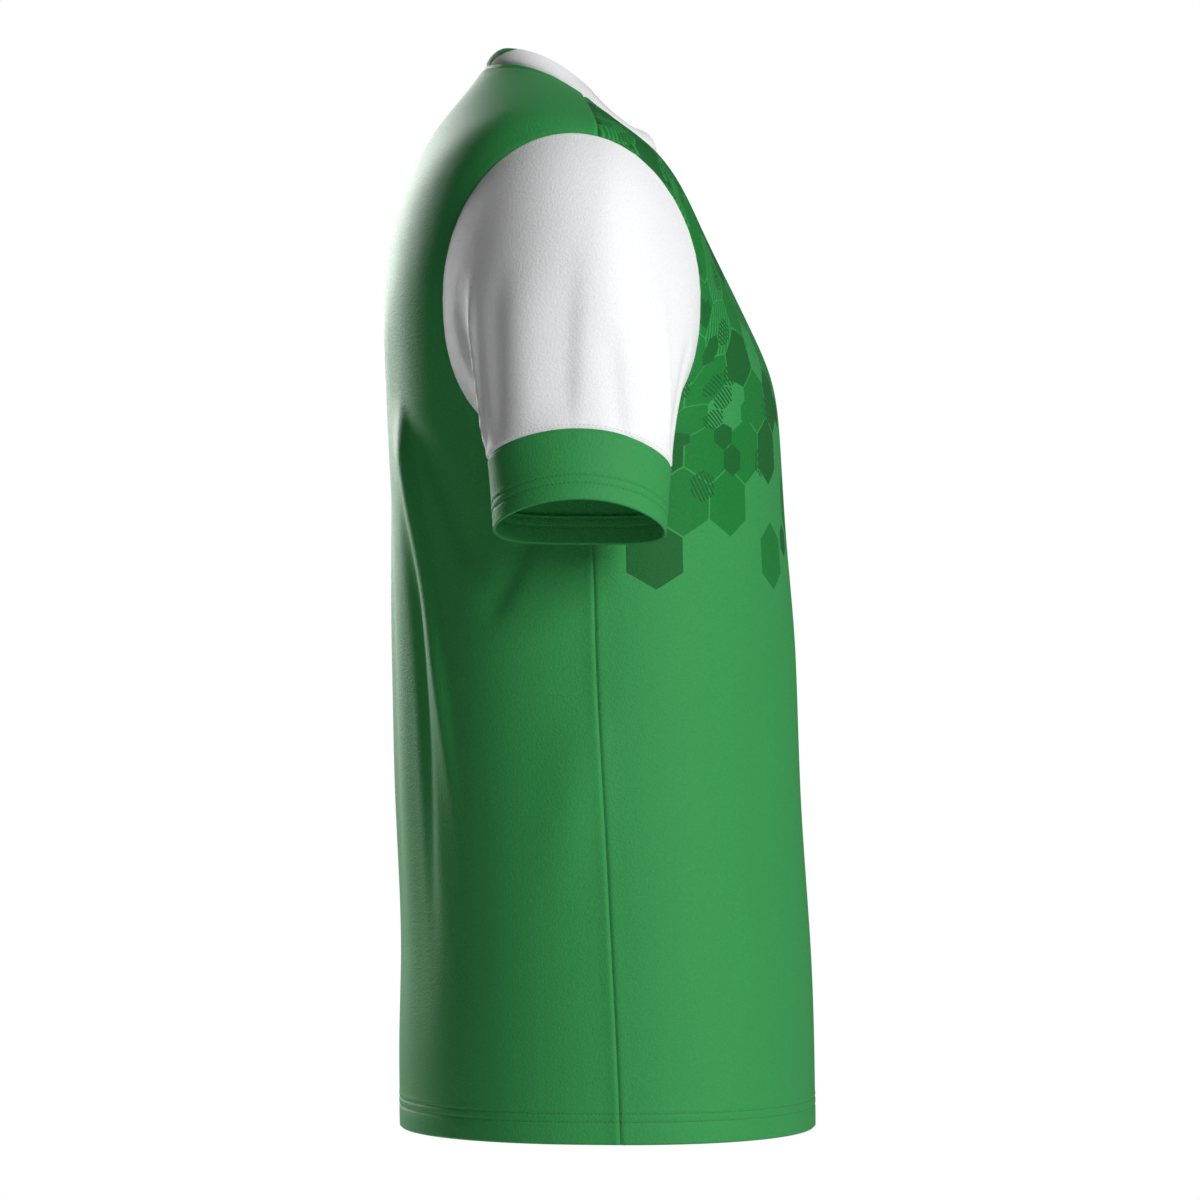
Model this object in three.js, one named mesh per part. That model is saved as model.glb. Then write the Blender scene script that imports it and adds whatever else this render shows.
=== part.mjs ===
// A short-sleeved football jersey, worn and filled out, with nobody in it.
// Millimetres. +Z is up, the front faces -Y and the right sleeve is at -X.
// The origin is midway between the two points where the shoulder seams meet the collar.
import * as THREE from "three";

// Cloth and seams
const WALL = 1.6; // the cloth with its seam turnings, as one wall
const SEAM_GAP = 0.3; // between two pieces that are sewn together
const MITRE_LIMIT = 0.55; // the least cosine used where two walls meet at an angle

// Rows of a table as objects with the columns' names.
function tableOf(columns, rows) {
  return rows.map((row) => Object.fromEntries(columns.map((column, k) => [column, row[k]])));
}

// Rings of the body from the hem up to the neck seam. Each ring has a front point, a side point and
// a back point. sideY is where the side seam or the shoulder seam lies, tilt is how steeply the ring
// climbs towards the back as it crosses that seam, and the squares are the powers of its curve.
// middleWidth is the half width that the ring's front and back follow, away from its sides, and fall
// is the power of its drop or climb between its side and its front or back.
const RING_COLUMNS = [
  ...["along", "frontZ", "frontY", "sideZ", "halfWidth", "middleWidth", "sideY"],
  ...["backZ", "backY", "tilt", "fall", "squareFront", "squareBack"],
];
const BODY_RINGS = tableOf(
  RING_COLUMNS,
  [
    [0, -702, -159, -702, 199, 199, -25, -702, 125.5, 0, 3, 2.2, 2.2],
    [60, -642, -158.5, -642, 199, 199, -22.5, -642, 126, 0, 3, 2.2, 2.2],
    [118, -584, -156.5, -584, 198, 198, -19.5, -584, 124.5, 0, 3, 2.2, 2.2],
    [222, -480, -149, -480, 196, 196, -14, -480, 128, 0, 3, 2.2, 2.25],
    [330, -372, -144.5, -372, 194.5, 194.5, -8.5, -372, 131, 0, 3, 2.25, 2.35],
    [400, -302, -139, -302, 195, 195, -6, -302, 132.5, 0, 3, 2.35, 2.5],
    [464, -238, -135, -238, 198, 198, 0, -238, 133, 0, 3, 2.45, 2.65],
    [530, -189, -128, -174, 206, 203, 1, -184, 134.5, 0.03, 3, 2.5, 2.8],
    [580, -156, -114, -122, 213.5, 204, -2, -142, 136, 0.1, 3, 2.4, 2.9],
    [618, -130, -101, -82, 217, 199, -6, -113, 134, 0.16, 3, 2.3, 2.9],
    [650, -108, -89, -50, 214, 190, -9, -87, 129.5, 0.22, 3, 2.2, 2.85],
    [672, -96, -82.3, -33, 207, 182, -10, -70, 124.5, 0.26, 3, 2.1, 2.75],
    [700, -83, -75.2, -22, 185, 168, -8.5, -49, 116.5, 0.36, 2.8, 2.05, 2.6],
    [735, -68, -67.3, -13, 149, 145, -5.5, -24, 103.5, 0.5, 2.5, 2.0, 2.45],
    [772, -51, -58.7, -5.5, 111, 110.5, -2.5, 1.5, 84.5, 0.65, 2.2, 2.0, 2.25],
    [806, -33.6, -49.8, 0, 77, 77, 0, 25.8, 66.5, 0.77, 2, 2.05, 2.1],
  ],
);
const HEM_ALONG = BODY_RINGS[0].along;
const NECK_ALONG = BODY_RINGS[BODY_RINGS.length - 1].along;

// The armhole, as it shows from the side
const ARMHOLE = { y: 7.3, halfDepth: 85, top: -33, middle: -139, bottom: -240 };
const ARMHOLE_POWER = { up: 2, down: 2.35 }; // over 2, the curve is squarer than an oval

// Where the sleeve leaves the armhole, and how far it keeps that direction
const SLEEVE_HEAD = {
  top: { out: 0.86, back: 0, down: 0.5, start: 88, end: 80 },
  back: { out: 0.86, back: -0.1, down: 0.5, start: 34, end: 62 },
  bottom: { out: 0.97, back: 0, down: 0.24, start: 7, end: 8 },
  front: { out: 0.86, back: 0.06, down: 0.5, start: 34, end: 62 },
};

// The two ends of the cuff: its seam with the sleeve and its open edge. The ends hang lower at the
// back and the front than a flat cut would.
const SLEEVE_TILT = THREE.MathUtils.degToRad(16.5);
const [CUFF_SEAM, CUFF_EDGE] = tableOf(
  ["x", "y", "z", "halfWidth", "halfDepth", "dropBack", "dropFront"],
  [
    [245.5, 1.8, -243, 45.5, 59.5, 7, 12],
    [252.5, 1.7, -290, 50, 55.7, 6, 8],
  ],
);

// The collar stands on the neck seam and leans in over the neck
const COLLAR = { height: 15.5, bulge: 1.6, leanFront: 27, leanSide: 60, leanBack: 42 };
const INSERT_HALF_WIDTH = { atSeam: 24, atEdge: 40 }; // the green piece at the back of the neck

// The largest folds of the body, drawn from the side: where each begins and ends, how far it bends
// on the way, how high it stands (a trough is negative) and how wide it is.
const BODY_FOLDS = [
  { name: "back ridge", topY: 124, topZ: -215, lowY: 92, lowZ: -510, bend: 4, height: 5, width: 17 },
  { name: "back valley", topY: 130, topZ: -200, lowY: 112, lowZ: -500, bend: 2, height: -6, width: 20 },
  { name: "side hollow", topY: 108, topZ: -260, lowY: 74, lowZ: -600, bend: 5, height: -4.5, width: 24 },
  { name: "underarm drag", topY: 104, topZ: -236, lowY: 54, lowZ: -352, bend: -3, height: 3.5, width: 14 },
  { name: "underarm trough", topY: 26, topZ: -268, lowY: 58, lowZ: -368, bend: 2, height: -3.5, width: 15 },
  { name: "side diagonal", topY: -6, topZ: -400, lowY: 20, lowZ: -560, bend: 0, height: 3, width: 22 },
  { name: "front drag", topY: -70, topZ: -205, lowY: -100, lowZ: -330, bend: 3, height: 2.5, width: 18 },
];

const BODY_FOLD_FADE = { top: 0.3, low: 0.55 }; // the shares of its length in which a fold dies out
const BODY_FOLD_LEAST_TURN = 0.35; // keeps a fold from narrowing where the cloth turns to the front
const BODY_FOLD_EDGE_TURN = 0.3; // below this, the folds die out towards the front and the back

// The largest folds of the sleeve: round counts from the top over the back, the underarm and the
// front as 0 to 1, and down goes from the armhole, 0, to the cuff's seam, 1.
const SLEEVE_FOLDS = [
  { name: "back pinch", round: 0.27, lowRound: 0.235, from: 0.25, to: 1.05, height: 3.2, width: 9 },
  { name: "back trough", round: 0.215, lowRound: 0.19, from: 0.35, to: 1.0, height: -2.6, width: 9 },
  { name: "middle trough", round: 0.06, lowRound: 0.07, from: 0.45, to: 0.95, height: -1.8, width: 13 },
  { name: "front pinch", round: 0.765, lowRound: 0.78, from: 0.3, to: 1.0, height: -2.4, width: 9 },
];

const SLEEVE_FOLD_FADE = { top: 0.4, low: 0.25 };
const SLEEVE_GIRTH = 400; // round the sleeve, to turn a share of a turn into a distance

// How finely each piece is divided
const ROWS_UNDER_ARMHOLE = 14;
const ROWS_BESIDE_ARMHOLE = 16;
const ROWS_ON_SHOULDER = 6;
const SHOULDER_SPACING = 1.3; // over 1, the rows are closer near the armhole
const COLUMNS = 30;
const SLEEVE_ROWS = 10;
const CUFF_ROWS = 2;
const COLLAR_ROWS = 2;

const GREEN = 0x2f8f45;
const WHITE = 0xf2f4f6;

const STEP = 1e-3; // the small step that directions are measured with, as a share of a turn
const RING_STEP = 0.1; // the same along the body, in millimetres
const SEAM_STEP = 1e-2; // the same away from a seam, as a share of the piece
const HALVINGS = 40; // how often a search for a crossing halves its range
const LEAST_COLUMN_SHARE = 0.3; // of a column's width, between a collar's end and its next column
const vector = (x, y, z) => new THREE.Vector3(x, y, z);

// The bends of a natural cubic spline through one column of the rings' table.
function splineBends(rows, column) {
  const last = rows.length - 1;
  const width = (k) => rows[k + 1].along - rows[k].along;
  const slope = (k) => (rows[k + 1][column] - rows[k][column]) / width(k);
  const [carried, bends] = [[0], [0]];
  for (let k = 1; k < last; k += 1) {
    const pivot = 2 * (width(k - 1) + width(k)) - width(k - 1) * carried[k - 1];
    carried.push(width(k) / pivot);
    bends.push((6 * (slope(k) - slope(k - 1)) - width(k - 1) * bends[k - 1]) / pivot);
  }
  bends.push(0);
  for (let k = last - 1; k > 0; k -= 1) bends[k] -= carried[k] * bends[k + 1];
  return bends;
}

const RING_BENDS = Object.fromEntries(
  Object.keys(BODY_RINGS[0]).map((column) => [column, splineBends(BODY_RINGS, column)]),
);

// A smooth curve through one column of the rings' table.
function smooth(column, along) {
  let i = 0;
  while (i < BODY_RINGS.length - 2 && along > BODY_RINGS[i + 1].along) i += 1;
  const [low, high] = [BODY_RINGS[i], BODY_RINGS[i + 1]];
  const width = high.along - low.along;
  const [u, v] = [(high.along - along) / width, (along - low.along) / width];
  const [bendLow, bendHigh] = [RING_BENDS[column][i], RING_BENDS[column][i + 1]];
  const curve = ((u ** 3 - u) * bendLow + (v ** 3 - v) * bendHigh) * (width ** 2 / 6);
  return u * low[column] + v * high[column] + curve;
}

// A step from 0 to 1 that starts and ends level.
function ease(u) {
  const v = THREE.MathUtils.clamp(u, 0, 1);
  return v * v * (3 - 2 * v);
}

// The body's plain form: round is 0 at the middle of the front, 1 at the right side seam and 2 at
// the middle of the back, and negative on the left.
function plainBody(along, turned) {
  const round = Math.abs(turned) > 2 ? turned - 4 * Math.sign(turned) : turned;
  const ring = (column) => smooth(column, along);
  const angle = (Math.abs(round) * Math.PI) / 2;
  const isFront = Math.abs(round) < 1;
  const [sideY, sideZ, square] = ["sideY", "sideZ", isFront ? "squareFront" : "squareBack"].map(ring);
  const depth = ring(isFront ? "frontY" : "backY") - sideY;
  const rise = ring(isFront ? "frontZ" : "backZ") - sideZ;
  const [sine, cosine] = [Math.sin(angle), Math.abs(Math.cos(angle))];
  const halfWidth = THREE.MathUtils.lerp(ring("middleWidth"), ring("halfWidth"), sine ** 4);
  const [wide, deep] = [sine / halfWidth, cosine / Math.abs(depth)];
  const radius = (wide ** square + deep ** square) ** (-1 / square);
  const share = radius * deep;
  const lift = ring("tilt") * depth * share * (1 - share) + rise * share ** ring("fall");
  const x = -Math.sign(round || 1) * radius * sine;
  return vector(x, sideY + Math.sign(depth) * radius * cosine, sideZ + lift);
}

// How far a fold of the body moves the cloth out at a point.
function foldHeight(fold, point, across) {
  const u = (point.z - fold.topZ) / (fold.lowZ - fold.topZ);
  if (u <= 0 || u >= 1) return 0;
  const fade = ease(u / BODY_FOLD_FADE.top) * ease((1 - u) / BODY_FOLD_FADE.low);
  const middle = fold.topY + (fold.lowY - fold.topY) * u + fold.bend * Math.sin(Math.PI * u);
  const away = (point.y - middle) / (fold.width * Math.max(across, BODY_FOLD_LEAST_TURN));
  return fold.height * fade * Math.exp(-away * away);
}

function normalOf(form, along, round) {
  const a = form(along + RING_STEP, round).sub(form(along - RING_STEP, round));
  const b = form(along, round + STEP).sub(form(along, round - STEP));
  return a.cross(b).normalize();
}

// The body with its folds.
function body(along, round) {
  const point = plainBody(along, round);
  const out = normalOf(plainBody, along, round);
  const across = Math.abs(out.x);
  const height = BODY_FOLDS.reduce((sum, fold) => sum + foldHeight(fold, point, across), 0);
  return point.addScaledVector(out, height * ease(across / BODY_FOLD_EDGE_TURN));
}

const bodyNormal = (along, round) => normalOf(body, along, round);

// Below zero inside the armhole and above it outside, as seen from the side.
function outsideArmhole(point) {
  const up = point.z > ARMHOLE.middle;
  const half = up ? ARMHOLE.top - ARMHOLE.middle : ARMHOLE.middle - ARMHOLE.bottom;
  const power = up ? ARMHOLE_POWER.up : ARMHOLE_POWER.down;
  const across = Math.abs(point.y - ARMHOLE.y) / ARMHOLE.halfDepth;
  return Math.pow(across, power) + Math.pow(Math.abs(point.z - ARMHOLE.middle) / half, power) - 1;
}

// Where a test that is above zero at from, and below it at to, crosses zero.
function crossing(test, from, to) {
  let [outside, inside] = [from, to];
  for (let i = 0; i < HALVINGS; i += 1) {
    const middle = (outside + inside) / 2;
    if (test(middle) > 0) outside = middle;
    else inside = middle;
  }
  return (outside + inside) / 2;
}

// Where the armhole meets the side seam and the shoulder seam. Its middle lies between them.
const ARMHOLE_MIDDLE_ALONG = 580;
const outsideAtSeam = (along) => outsideArmhole(plainBody(along, 1));
const UNDERARM_ALONG = crossing(outsideAtSeam, HEM_ALONG, ARMHOLE_MIDDLE_ALONG);
const SHOULDER_ALONG = crossing(outsideAtSeam, NECK_ALONG, ARMHOLE_MIDDLE_ALONG);

// The edge of a panel at one ring, as a value of round: a seam at 1, or the armhole.
function panelEdge(along, isFront) {
  if (along <= UNDERARM_ALONG || along >= SHOULDER_ALONG) return 1;
  const middle = isFront ? 0 : 2;
  return crossing((round) => outsideArmhole(plainBody(along, round)), middle, 1);
}

// A point on the armhole's edge: round the loop from the top over the back, 0 to 1.
function armhole(turn) {
  const wrapped = ((turn % 1) + 1) % 1;
  const share = (1 + Math.cos(2 * Math.PI * wrapped)) / 2;
  const along = UNDERARM_ALONG + (SHOULDER_ALONG - UNDERARM_ALONG) * share;
  return { along, round: panelEdge(along, wrapped > 0.5) };
}

const armholePoint = (turn) => {
  const { along, round } = armhole(turn);
  return body(along, round);
};

// A value that changes smoothly from the sleeve's top to its back, bottom and front.
function aroundSleeve(turn, key) {
  const [c, s] = [Math.cos(2 * Math.PI * turn), Math.sin(2 * Math.PI * turn)];
  const upright = SLEEVE_HEAD[c > 0 ? "top" : "bottom"][key];
  const level = SLEEVE_HEAD[s > 0 ? "back" : "front"][key];
  return upright * c * c + level * s * s;
}

// A point on one end of the cuff.
function cuffRing(end, turn) {
  const [c, s] = [Math.cos(2 * Math.PI * turn), Math.sin(2 * Math.PI * turn)];
  const drop = (s > 0 ? end.dropBack : end.dropFront) * s * s;
  const out = end.halfWidth * c;
  return vector(
    -end.x - out * Math.cos(SLEEVE_TILT) - drop * Math.sin(SLEEVE_TILT),
    end.y + end.halfDepth * s,
    end.z + out * Math.sin(SLEEVE_TILT) - drop * Math.cos(SLEEVE_TILT),
  );
}

// The right sleeve's plain form, from the armhole, down = 0, to the cuff's seam, down = 1.
function plainSleeve(down, turn) {
  const start = armholePoint(turn);
  const end = cuffRing(CUFF_SEAM, turn);
  const [out, back, low] = ["out", "back", "down"].map((key) => aroundSleeve(turn, key));
  const leave = vector(-out, back, -low).normalize();
  const arrive = cuffRing(CUFF_EDGE, turn).sub(end).normalize();
  const first = start.clone().addScaledVector(leave, aroundSleeve(turn, "start"));
  const last = end.clone().addScaledVector(arrive, -aroundSleeve(turn, "end"));
  const u = 1 - down;
  return start
    .multiplyScalar(u ** 3)
    .addScaledVector(first, 3 * u * u * down)
    .addScaledVector(last, 3 * u * down * down)
    .addScaledVector(end, down ** 3);
}

function sleeveFoldHeight(fold, down, turn) {
  const u = (down - fold.from) / (fold.to - fold.from);
  if (u <= 0 || u >= 1) return 0;
  const middle = fold.round + (fold.lowRound - fold.round) * u;
  const away = ((turn - middle) * SLEEVE_GIRTH) / fold.width;
  const fade = ease(u / SLEEVE_FOLD_FADE.top) * ease((1 - u) / SLEEVE_FOLD_FADE.low);
  return fold.height * fade * Math.exp(-away * away);
}

function sleeve(down, turn) {
  const wrapped = ((turn % 1) + 1) % 1;
  const height = SLEEVE_FOLDS.reduce((sum, fold) => sum + sleeveFoldHeight(fold, down, wrapped), 0);
  return plainSleeve(down, turn).addScaledVector(sleeveNormal(plainSleeve, down, turn), height);
}

function sleeveNormal(form, down, turn) {
  const from = Math.max(down - STEP, 0);
  const along = form(from + STEP, turn).sub(form(from, turn));
  const across = form(down, turn + STEP).sub(form(down, turn - STEP));
  return across.cross(along).normalize();
}

function cuff(down, turn) {
  return cuffRing(CUFF_SEAM, turn).lerp(cuffRing(CUFF_EDGE, turn), down);
}

// The collar's form: round as on the body, and up from the neck seam, 0, to the free edge, 1.
function collar(up, round) {
  const share = Math.abs(Math.cos((Math.abs(round) * Math.PI) / 2));
  const end = Math.abs(round) < 1 ? COLLAR.leanFront : COLLAR.leanBack;
  const lean = THREE.MathUtils.degToRad(COLLAR.leanSide + (end - COLLAR.leanSide) * share * share);
  const seam = body(NECK_ALONG, round);
  const tangent = body(NECK_ALONG, round + STEP).sub(body(NECK_ALONG, round - STEP)).normalize();
  const inward = vector(0, 0, 1).cross(tangent).normalize();
  if (inward.dot(seam) > 0) inward.negate();
  const upright = tangent.clone().cross(inward).normalize();
  if (upright.z < 0) upright.negate();
  const arch = COLLAR.bulge * Math.sin(Math.PI * up);
  return seam
    .addScaledVector(inward, COLLAR.height * up * Math.sin(lean) - arch * Math.cos(lean))
    .addScaledVector(upright, COLLAR.height * up * Math.cos(lean) + arch * Math.sin(lean));
}

function collarNormal(up, round) {
  const from = Math.max(up - STEP, 0);
  const rise = collar(from + STEP, round).sub(collar(from, round));
  const across = collar(up, round + STEP).sub(collar(up, round - STEP));
  return rise.cross(across).normalize();
}

// The frame in which two sewn walls meet: which way the wall's thickness runs, how far, and the
// direction across the seam from the first piece to the second.
function seamFrame(point, firstNormal, secondNormal, tangent) {
  const through = firstNormal.clone().add(secondNormal).normalize();
  const reach = WALL / 2 / Math.max(through.dot(firstNormal), MITRE_LIMIT);
  return { point, through, reach, across: tangent.clone().cross(through).normalize() };
}

// The two wall points of a seam for one of its pieces: side is -1 for the first, +1 for the second.
function seamPoints({ point, through, reach, across }, side) {
  const middle = point.clone().addScaledVector(across, (side * SEAM_GAP) / 2);
  return [middle.clone().addScaledVector(through, reach), middle.clone().addScaledVector(through, -reach)];
}

function armholeSeam(turn) {
  const { along, round } = armhole(turn);
  const tangent = armholePoint(turn + STEP).sub(armholePoint(turn - STEP)).normalize();
  const [bodyOut, sleeveOut] = [bodyNormal(along, round), sleeveNormal(plainSleeve, 0, turn)];
  const frame = seamFrame(armholePoint(turn), bodyOut, sleeveOut, tangent);
  const leave = plainSleeve(SEAM_STEP, turn).sub(armholePoint(turn));
  if (frame.across.dot(leave) < 0) frame.across.negate();
  return frame;
}

function neckSeam(round) {
  const tangent = body(NECK_ALONG, round + STEP).sub(body(NECK_ALONG, round - STEP)).normalize();
  const [bodyOut, collarOut] = [bodyNormal(NECK_ALONG, round), collarNormal(0, round)];
  const frame = seamFrame(body(NECK_ALONG, round), bodyOut, collarOut, tangent);
  if (frame.across.dot(collar(SEAM_STEP, round).sub(collar(0, round))) < 0) frame.across.negate();
  return frame;
}

const wallPoints = (point, normal) => [
  point.clone().addScaledVector(normal, WALL / 2),
  point.clone().addScaledVector(normal, -WALL / 2),
];

// A closed wall from a grid of [outer, inner] points. A closed grid joins its last column to its first.
function wallGeometry(grid, isRing) {
  const rows = grid.length;
  const columns = grid[0].length;
  const positions = grid.flat(2).flatMap((point) => point.toArray());
  const index = (i, j, layer) => 2 * (i * columns + (j % columns)) + layer;
  const faces = [];
  const place = (k) => vector(...positions.slice(3 * k, 3 * k + 3));
  const quad = (a, b, c, d) => {
    const isShort = place(a).distanceTo(place(c)) <= place(b).distanceTo(place(d));
    faces.push(...(isShort ? [a, b, c, a, c, d] : [b, c, d, b, d, a]));
  };
  const last = isRing ? columns : columns - 1;
  for (let i = 0; i < rows - 1; i += 1) {
    for (let j = 0; j < last; j += 1) {
      quad(index(i, j, 0), index(i, j + 1, 0), index(i + 1, j + 1, 0), index(i + 1, j, 0));
      quad(index(i, j, 1), index(i + 1, j, 1), index(i + 1, j + 1, 1), index(i, j + 1, 1));
    }
  }
  const top = rows - 1;
  for (let j = 0; j < last; j += 1) {
    quad(index(0, j, 1), index(0, j + 1, 1), index(0, j + 1, 0), index(0, j, 0));
    quad(index(top, j, 0), index(top, j + 1, 0), index(top, j + 1, 1), index(top, j, 1));
  }
  const end = columns - 1;
  for (let i = 0; i < rows - 1 && !isRing; i += 1) {
    quad(index(i, 0, 0), index(i + 1, 0, 0), index(i + 1, 0, 1), index(i, 0, 1));
    quad(index(i, end, 1), index(i + 1, end, 1), index(i + 1, end, 0), index(i, end, 0));
  }
  const geometry = new THREE.BufferGeometry();
  geometry.setAttribute("position", new THREE.Float32BufferAttribute(positions, 3));
  geometry.setIndex(faces);
  geometry.computeVertexNormals();
  return geometry;
}

// The signed volume tells whether the faces point out.
function facingOut(geometry) {
  const place = geometry.getAttribute("position");
  const index = geometry.getIndex();
  const [a, b, c] = [vector(), vector(), vector()];
  let volume = 0;
  for (let i = 0; i < index.count; i += 3) {
    [a, b, c].forEach((point, k) => point.fromBufferAttribute(place, index.getX(i + k)));
    volume += a.dot(b.cross(c));
  }
  if (volume > 0) return geometry;
  for (let i = 0; i < index.count; i += 3) {
    const kept = index.getX(i + 1);
    index.setX(i + 1, index.getX(i + 2));
    index.setX(i + 2, kept);
  }
  geometry.computeVertexNormals();
  return geometry;
}

// The rings that a panel's rows lie on, with the armhole's rows closer at its two ends.
function panelRows() {
  const rows = [];
  for (let i = 0; i < ROWS_UNDER_ARMHOLE; i += 1) {
    rows.push({ along: HEM_ALONG + ((UNDERARM_ALONG - HEM_ALONG) * i) / ROWS_UNDER_ARMHOLE });
  }
  for (let i = 0; i <= ROWS_BESIDE_ARMHOLE; i += 1) {
    const turn = 0.5 - (0.5 * i) / ROWS_BESIDE_ARMHOLE;
    rows.push({ along: armhole(turn).along, turn });
  }
  for (let i = 1; i <= ROWS_ON_SHOULDER; i += 1) {
    const share = (i / ROWS_ON_SHOULDER) ** SHOULDER_SPACING;
    rows.push({ along: SHOULDER_ALONG + (NECK_ALONG - SHOULDER_ALONG) * share });
  }
  return rows;
}

const mirrored = (points) => points.map((point) => vector(-point.x, point.y, point.z));

// Half of a panel's row, from the middle of the panel to its edge on the right side.
function halfRow({ along, turn }, isFront) {
  const middle = isFront ? 0 : 2;
  const edge = panelEdge(along, isFront);
  const half = COLUMNS / 2;
  const cells = [];
  const isSeam = turn === undefined || turn === 0 || turn === 0.5;
  const toSeam = body(along, edge).distanceTo(body(along, edge + STEP)) / STEP;
  const reach = isSeam ? edge + ((isFront ? -1 : 1) * SEAM_GAP) / 2 / toSeam : edge;
  for (let j = 0; j <= half; j += 1) {
    const round = middle + ((reach - middle) * j) / half;
    const isNeck = along === NECK_ALONG;
    const plain = () => wallPoints(body(along, round), bodyNormal(along, round));
    cells.push(isNeck ? seamPoints(neckSeam(round), -1) : plain());
  }
  if (turn !== undefined) {
    const shift = body(along, reach).sub(body(along, edge));
    const points = seamPoints(armholeSeam(isFront ? 1 - turn : turn), -1);
    cells[half] = points.map((point) => point.add(shift));
  }
  return cells;
}

function panel(isFront) {
  const grid = panelRows().map((row) => {
    const right = halfRow(row, isFront);
    const left = right.slice(1).map(mirrored);
    return [...left.reverse(), ...right];
  });
  return facingOut(wallGeometry(grid, false));
}

// The sleeve's wall at one point. It meets the body at its first row and the cuff at its last.
function sleeveCell(row, turn) {
  if (row === 0) return seamPoints(armholeSeam(turn), 1);
  const down = row / SLEEVE_ROWS;
  const point = sleeve(down, turn);
  if (row < SLEEVE_ROWS) return wallPoints(point, sleeveNormal(sleeve, down, turn));
  const toEdge = cuffRing(CUFF_EDGE, turn).sub(cuffRing(CUFF_SEAM, turn)).normalize();
  return wallPoints(point.addScaledVector(toEdge, -SEAM_GAP / 2), sleeveNormal(cuff, 0, turn));
}

function cuffCell(row, turn) {
  const length = cuffRing(CUFF_EDGE, turn).distanceTo(cuffRing(CUFF_SEAM, turn));
  const down = row === 0 ? SEAM_GAP / 2 / length : row / CUFF_ROWS;
  return wallPoints(cuff(down, turn), sleeveNormal(cuff, 0, turn));
}

// A grid of rows that run all round the arm, divided as the armhole's rows are.
function roundGrid(rows, cell) {
  const steps = 2 * ROWS_BESIDE_ARMHOLE;
  const turns = Array.from({ length: steps }, (_, k) => k / steps);
  return Array.from({ length: rows + 1 }, (_, row) => turns.map((turn) => cell(row, turn)));
}

// The value of round on the neck ring at which the ring is a given distance from the middle plane.
function neckRoundAt(halfWidth, up) {
  return crossing((round) => Math.abs(collar(up, round).x) - halfWidth, 1, 2);
}

// The values of round at which the collar is divided: those of the panels' columns, and its two ends.
function seamRounds(from, to) {
  const step = 2 / COLUMNS;
  const rounds = [from];
  const first = Math.ceil(from / step + LEAST_COLUMN_SHARE);
  for (let k = first; k * step < to - LEAST_COLUMN_SHARE * step; k += 1) rounds.push(k * step);
  return [...rounds, to];
}

// One piece of the collar. place turns a value of round on the seam into one at a height.
function collarPiece(rounds, place) {
  const cell = (up, round) => {
    if (up === 0) return seamPoints(neckSeam(round), 1);
    return wallPoints(collar(up, round), collarNormal(up, round));
  };
  const heights = Array.from({ length: COLLAR_ROWS + 1 }, (_, row) => row / COLLAR_ROWS);
  const grid = heights.map((up) => rounds.map((seam) => cell(up, place(seam, up))));
  return facingOut(wallGeometry(grid, false));
}

// The slanted join of the collar's two pieces, as a value of round, on one side of the gap.
function collarJoin(up, side) {
  const halfWidth = THREE.MathUtils.lerp(INSERT_HALF_WIDTH.atSeam, INSERT_HALF_WIDTH.atEdge, up);
  return neckRoundAt(halfWidth + side * SEAM_GAP, up);
}

// The white band leans back towards its ends, behind the shoulder seams.
function collarBand() {
  const end = collarJoin(0, 1);
  return collarPiece(seamRounds(-end, end), (seam, up) => {
    const past = Math.max(Math.abs(seam) - 1, 0);
    const leaning = (past * (collarJoin(up, 1) - 1)) / (end - 1);
    return Math.sign(seam) * (Math.abs(seam) - past + leaning);
  });
}

function collarInsert() {
  const end = collarJoin(0, -1);
  const lean = (seam, up) => 2 + ((seam - 2) * (2 - collarJoin(up, -1))) / (2 - end);
  return collarPiece(seamRounds(end, 4 - end), lean);
}

function clothMesh(name, geometry, colour) {
  const material = new THREE.MeshStandardMaterial({ color: colour, roughness: 0.85, metalness: 0 });
  const mesh = new THREE.Mesh(geometry, material);
  mesh.name = name;
  return mesh;
}

// The right-hand piece and its mirror image on the left.
function pair(name, grid, colour) {
  const other = grid.map((row) => row.map(mirrored));
  const [right, left] = [grid, other].map((rows) => facingOut(wallGeometry(rows, true)));
  return [clothMesh(`${name}_right`, right, colour), clothMesh(`${name}_left`, left, colour)];
}

const jersey = new THREE.Group();
jersey.add(
  clothMesh("front_panel", panel(true), GREEN),
  clothMesh("back_panel", panel(false), GREEN),
  ...pair("sleeve", roundGrid(SLEEVE_ROWS, sleeveCell), WHITE),
  ...pair("cuff", roundGrid(CUFF_ROWS, cuffCell), GREEN),
  clothMesh("collar_band", collarBand(), WHITE),
  clothMesh("collar_insert", collarInsert(), GREEN),
);

export default jersey;
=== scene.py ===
"""A short-sleeved football jersey, worn and filled out, with nobody in it.

The forms are worked out in millimetres and the meshes are made in metres. +Z is up, the front
faces -Y and the right sleeve is at -X. The origin is midway between the two points where the
shoulder seams meet the collar.
"""
import logging
import math
from collections.abc import Callable, Sequence
from dataclasses import dataclass, field, replace
from enum import Enum

import bpy
import numpy as np
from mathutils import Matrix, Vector
from mathutils.kdtree import KDTree


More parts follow.
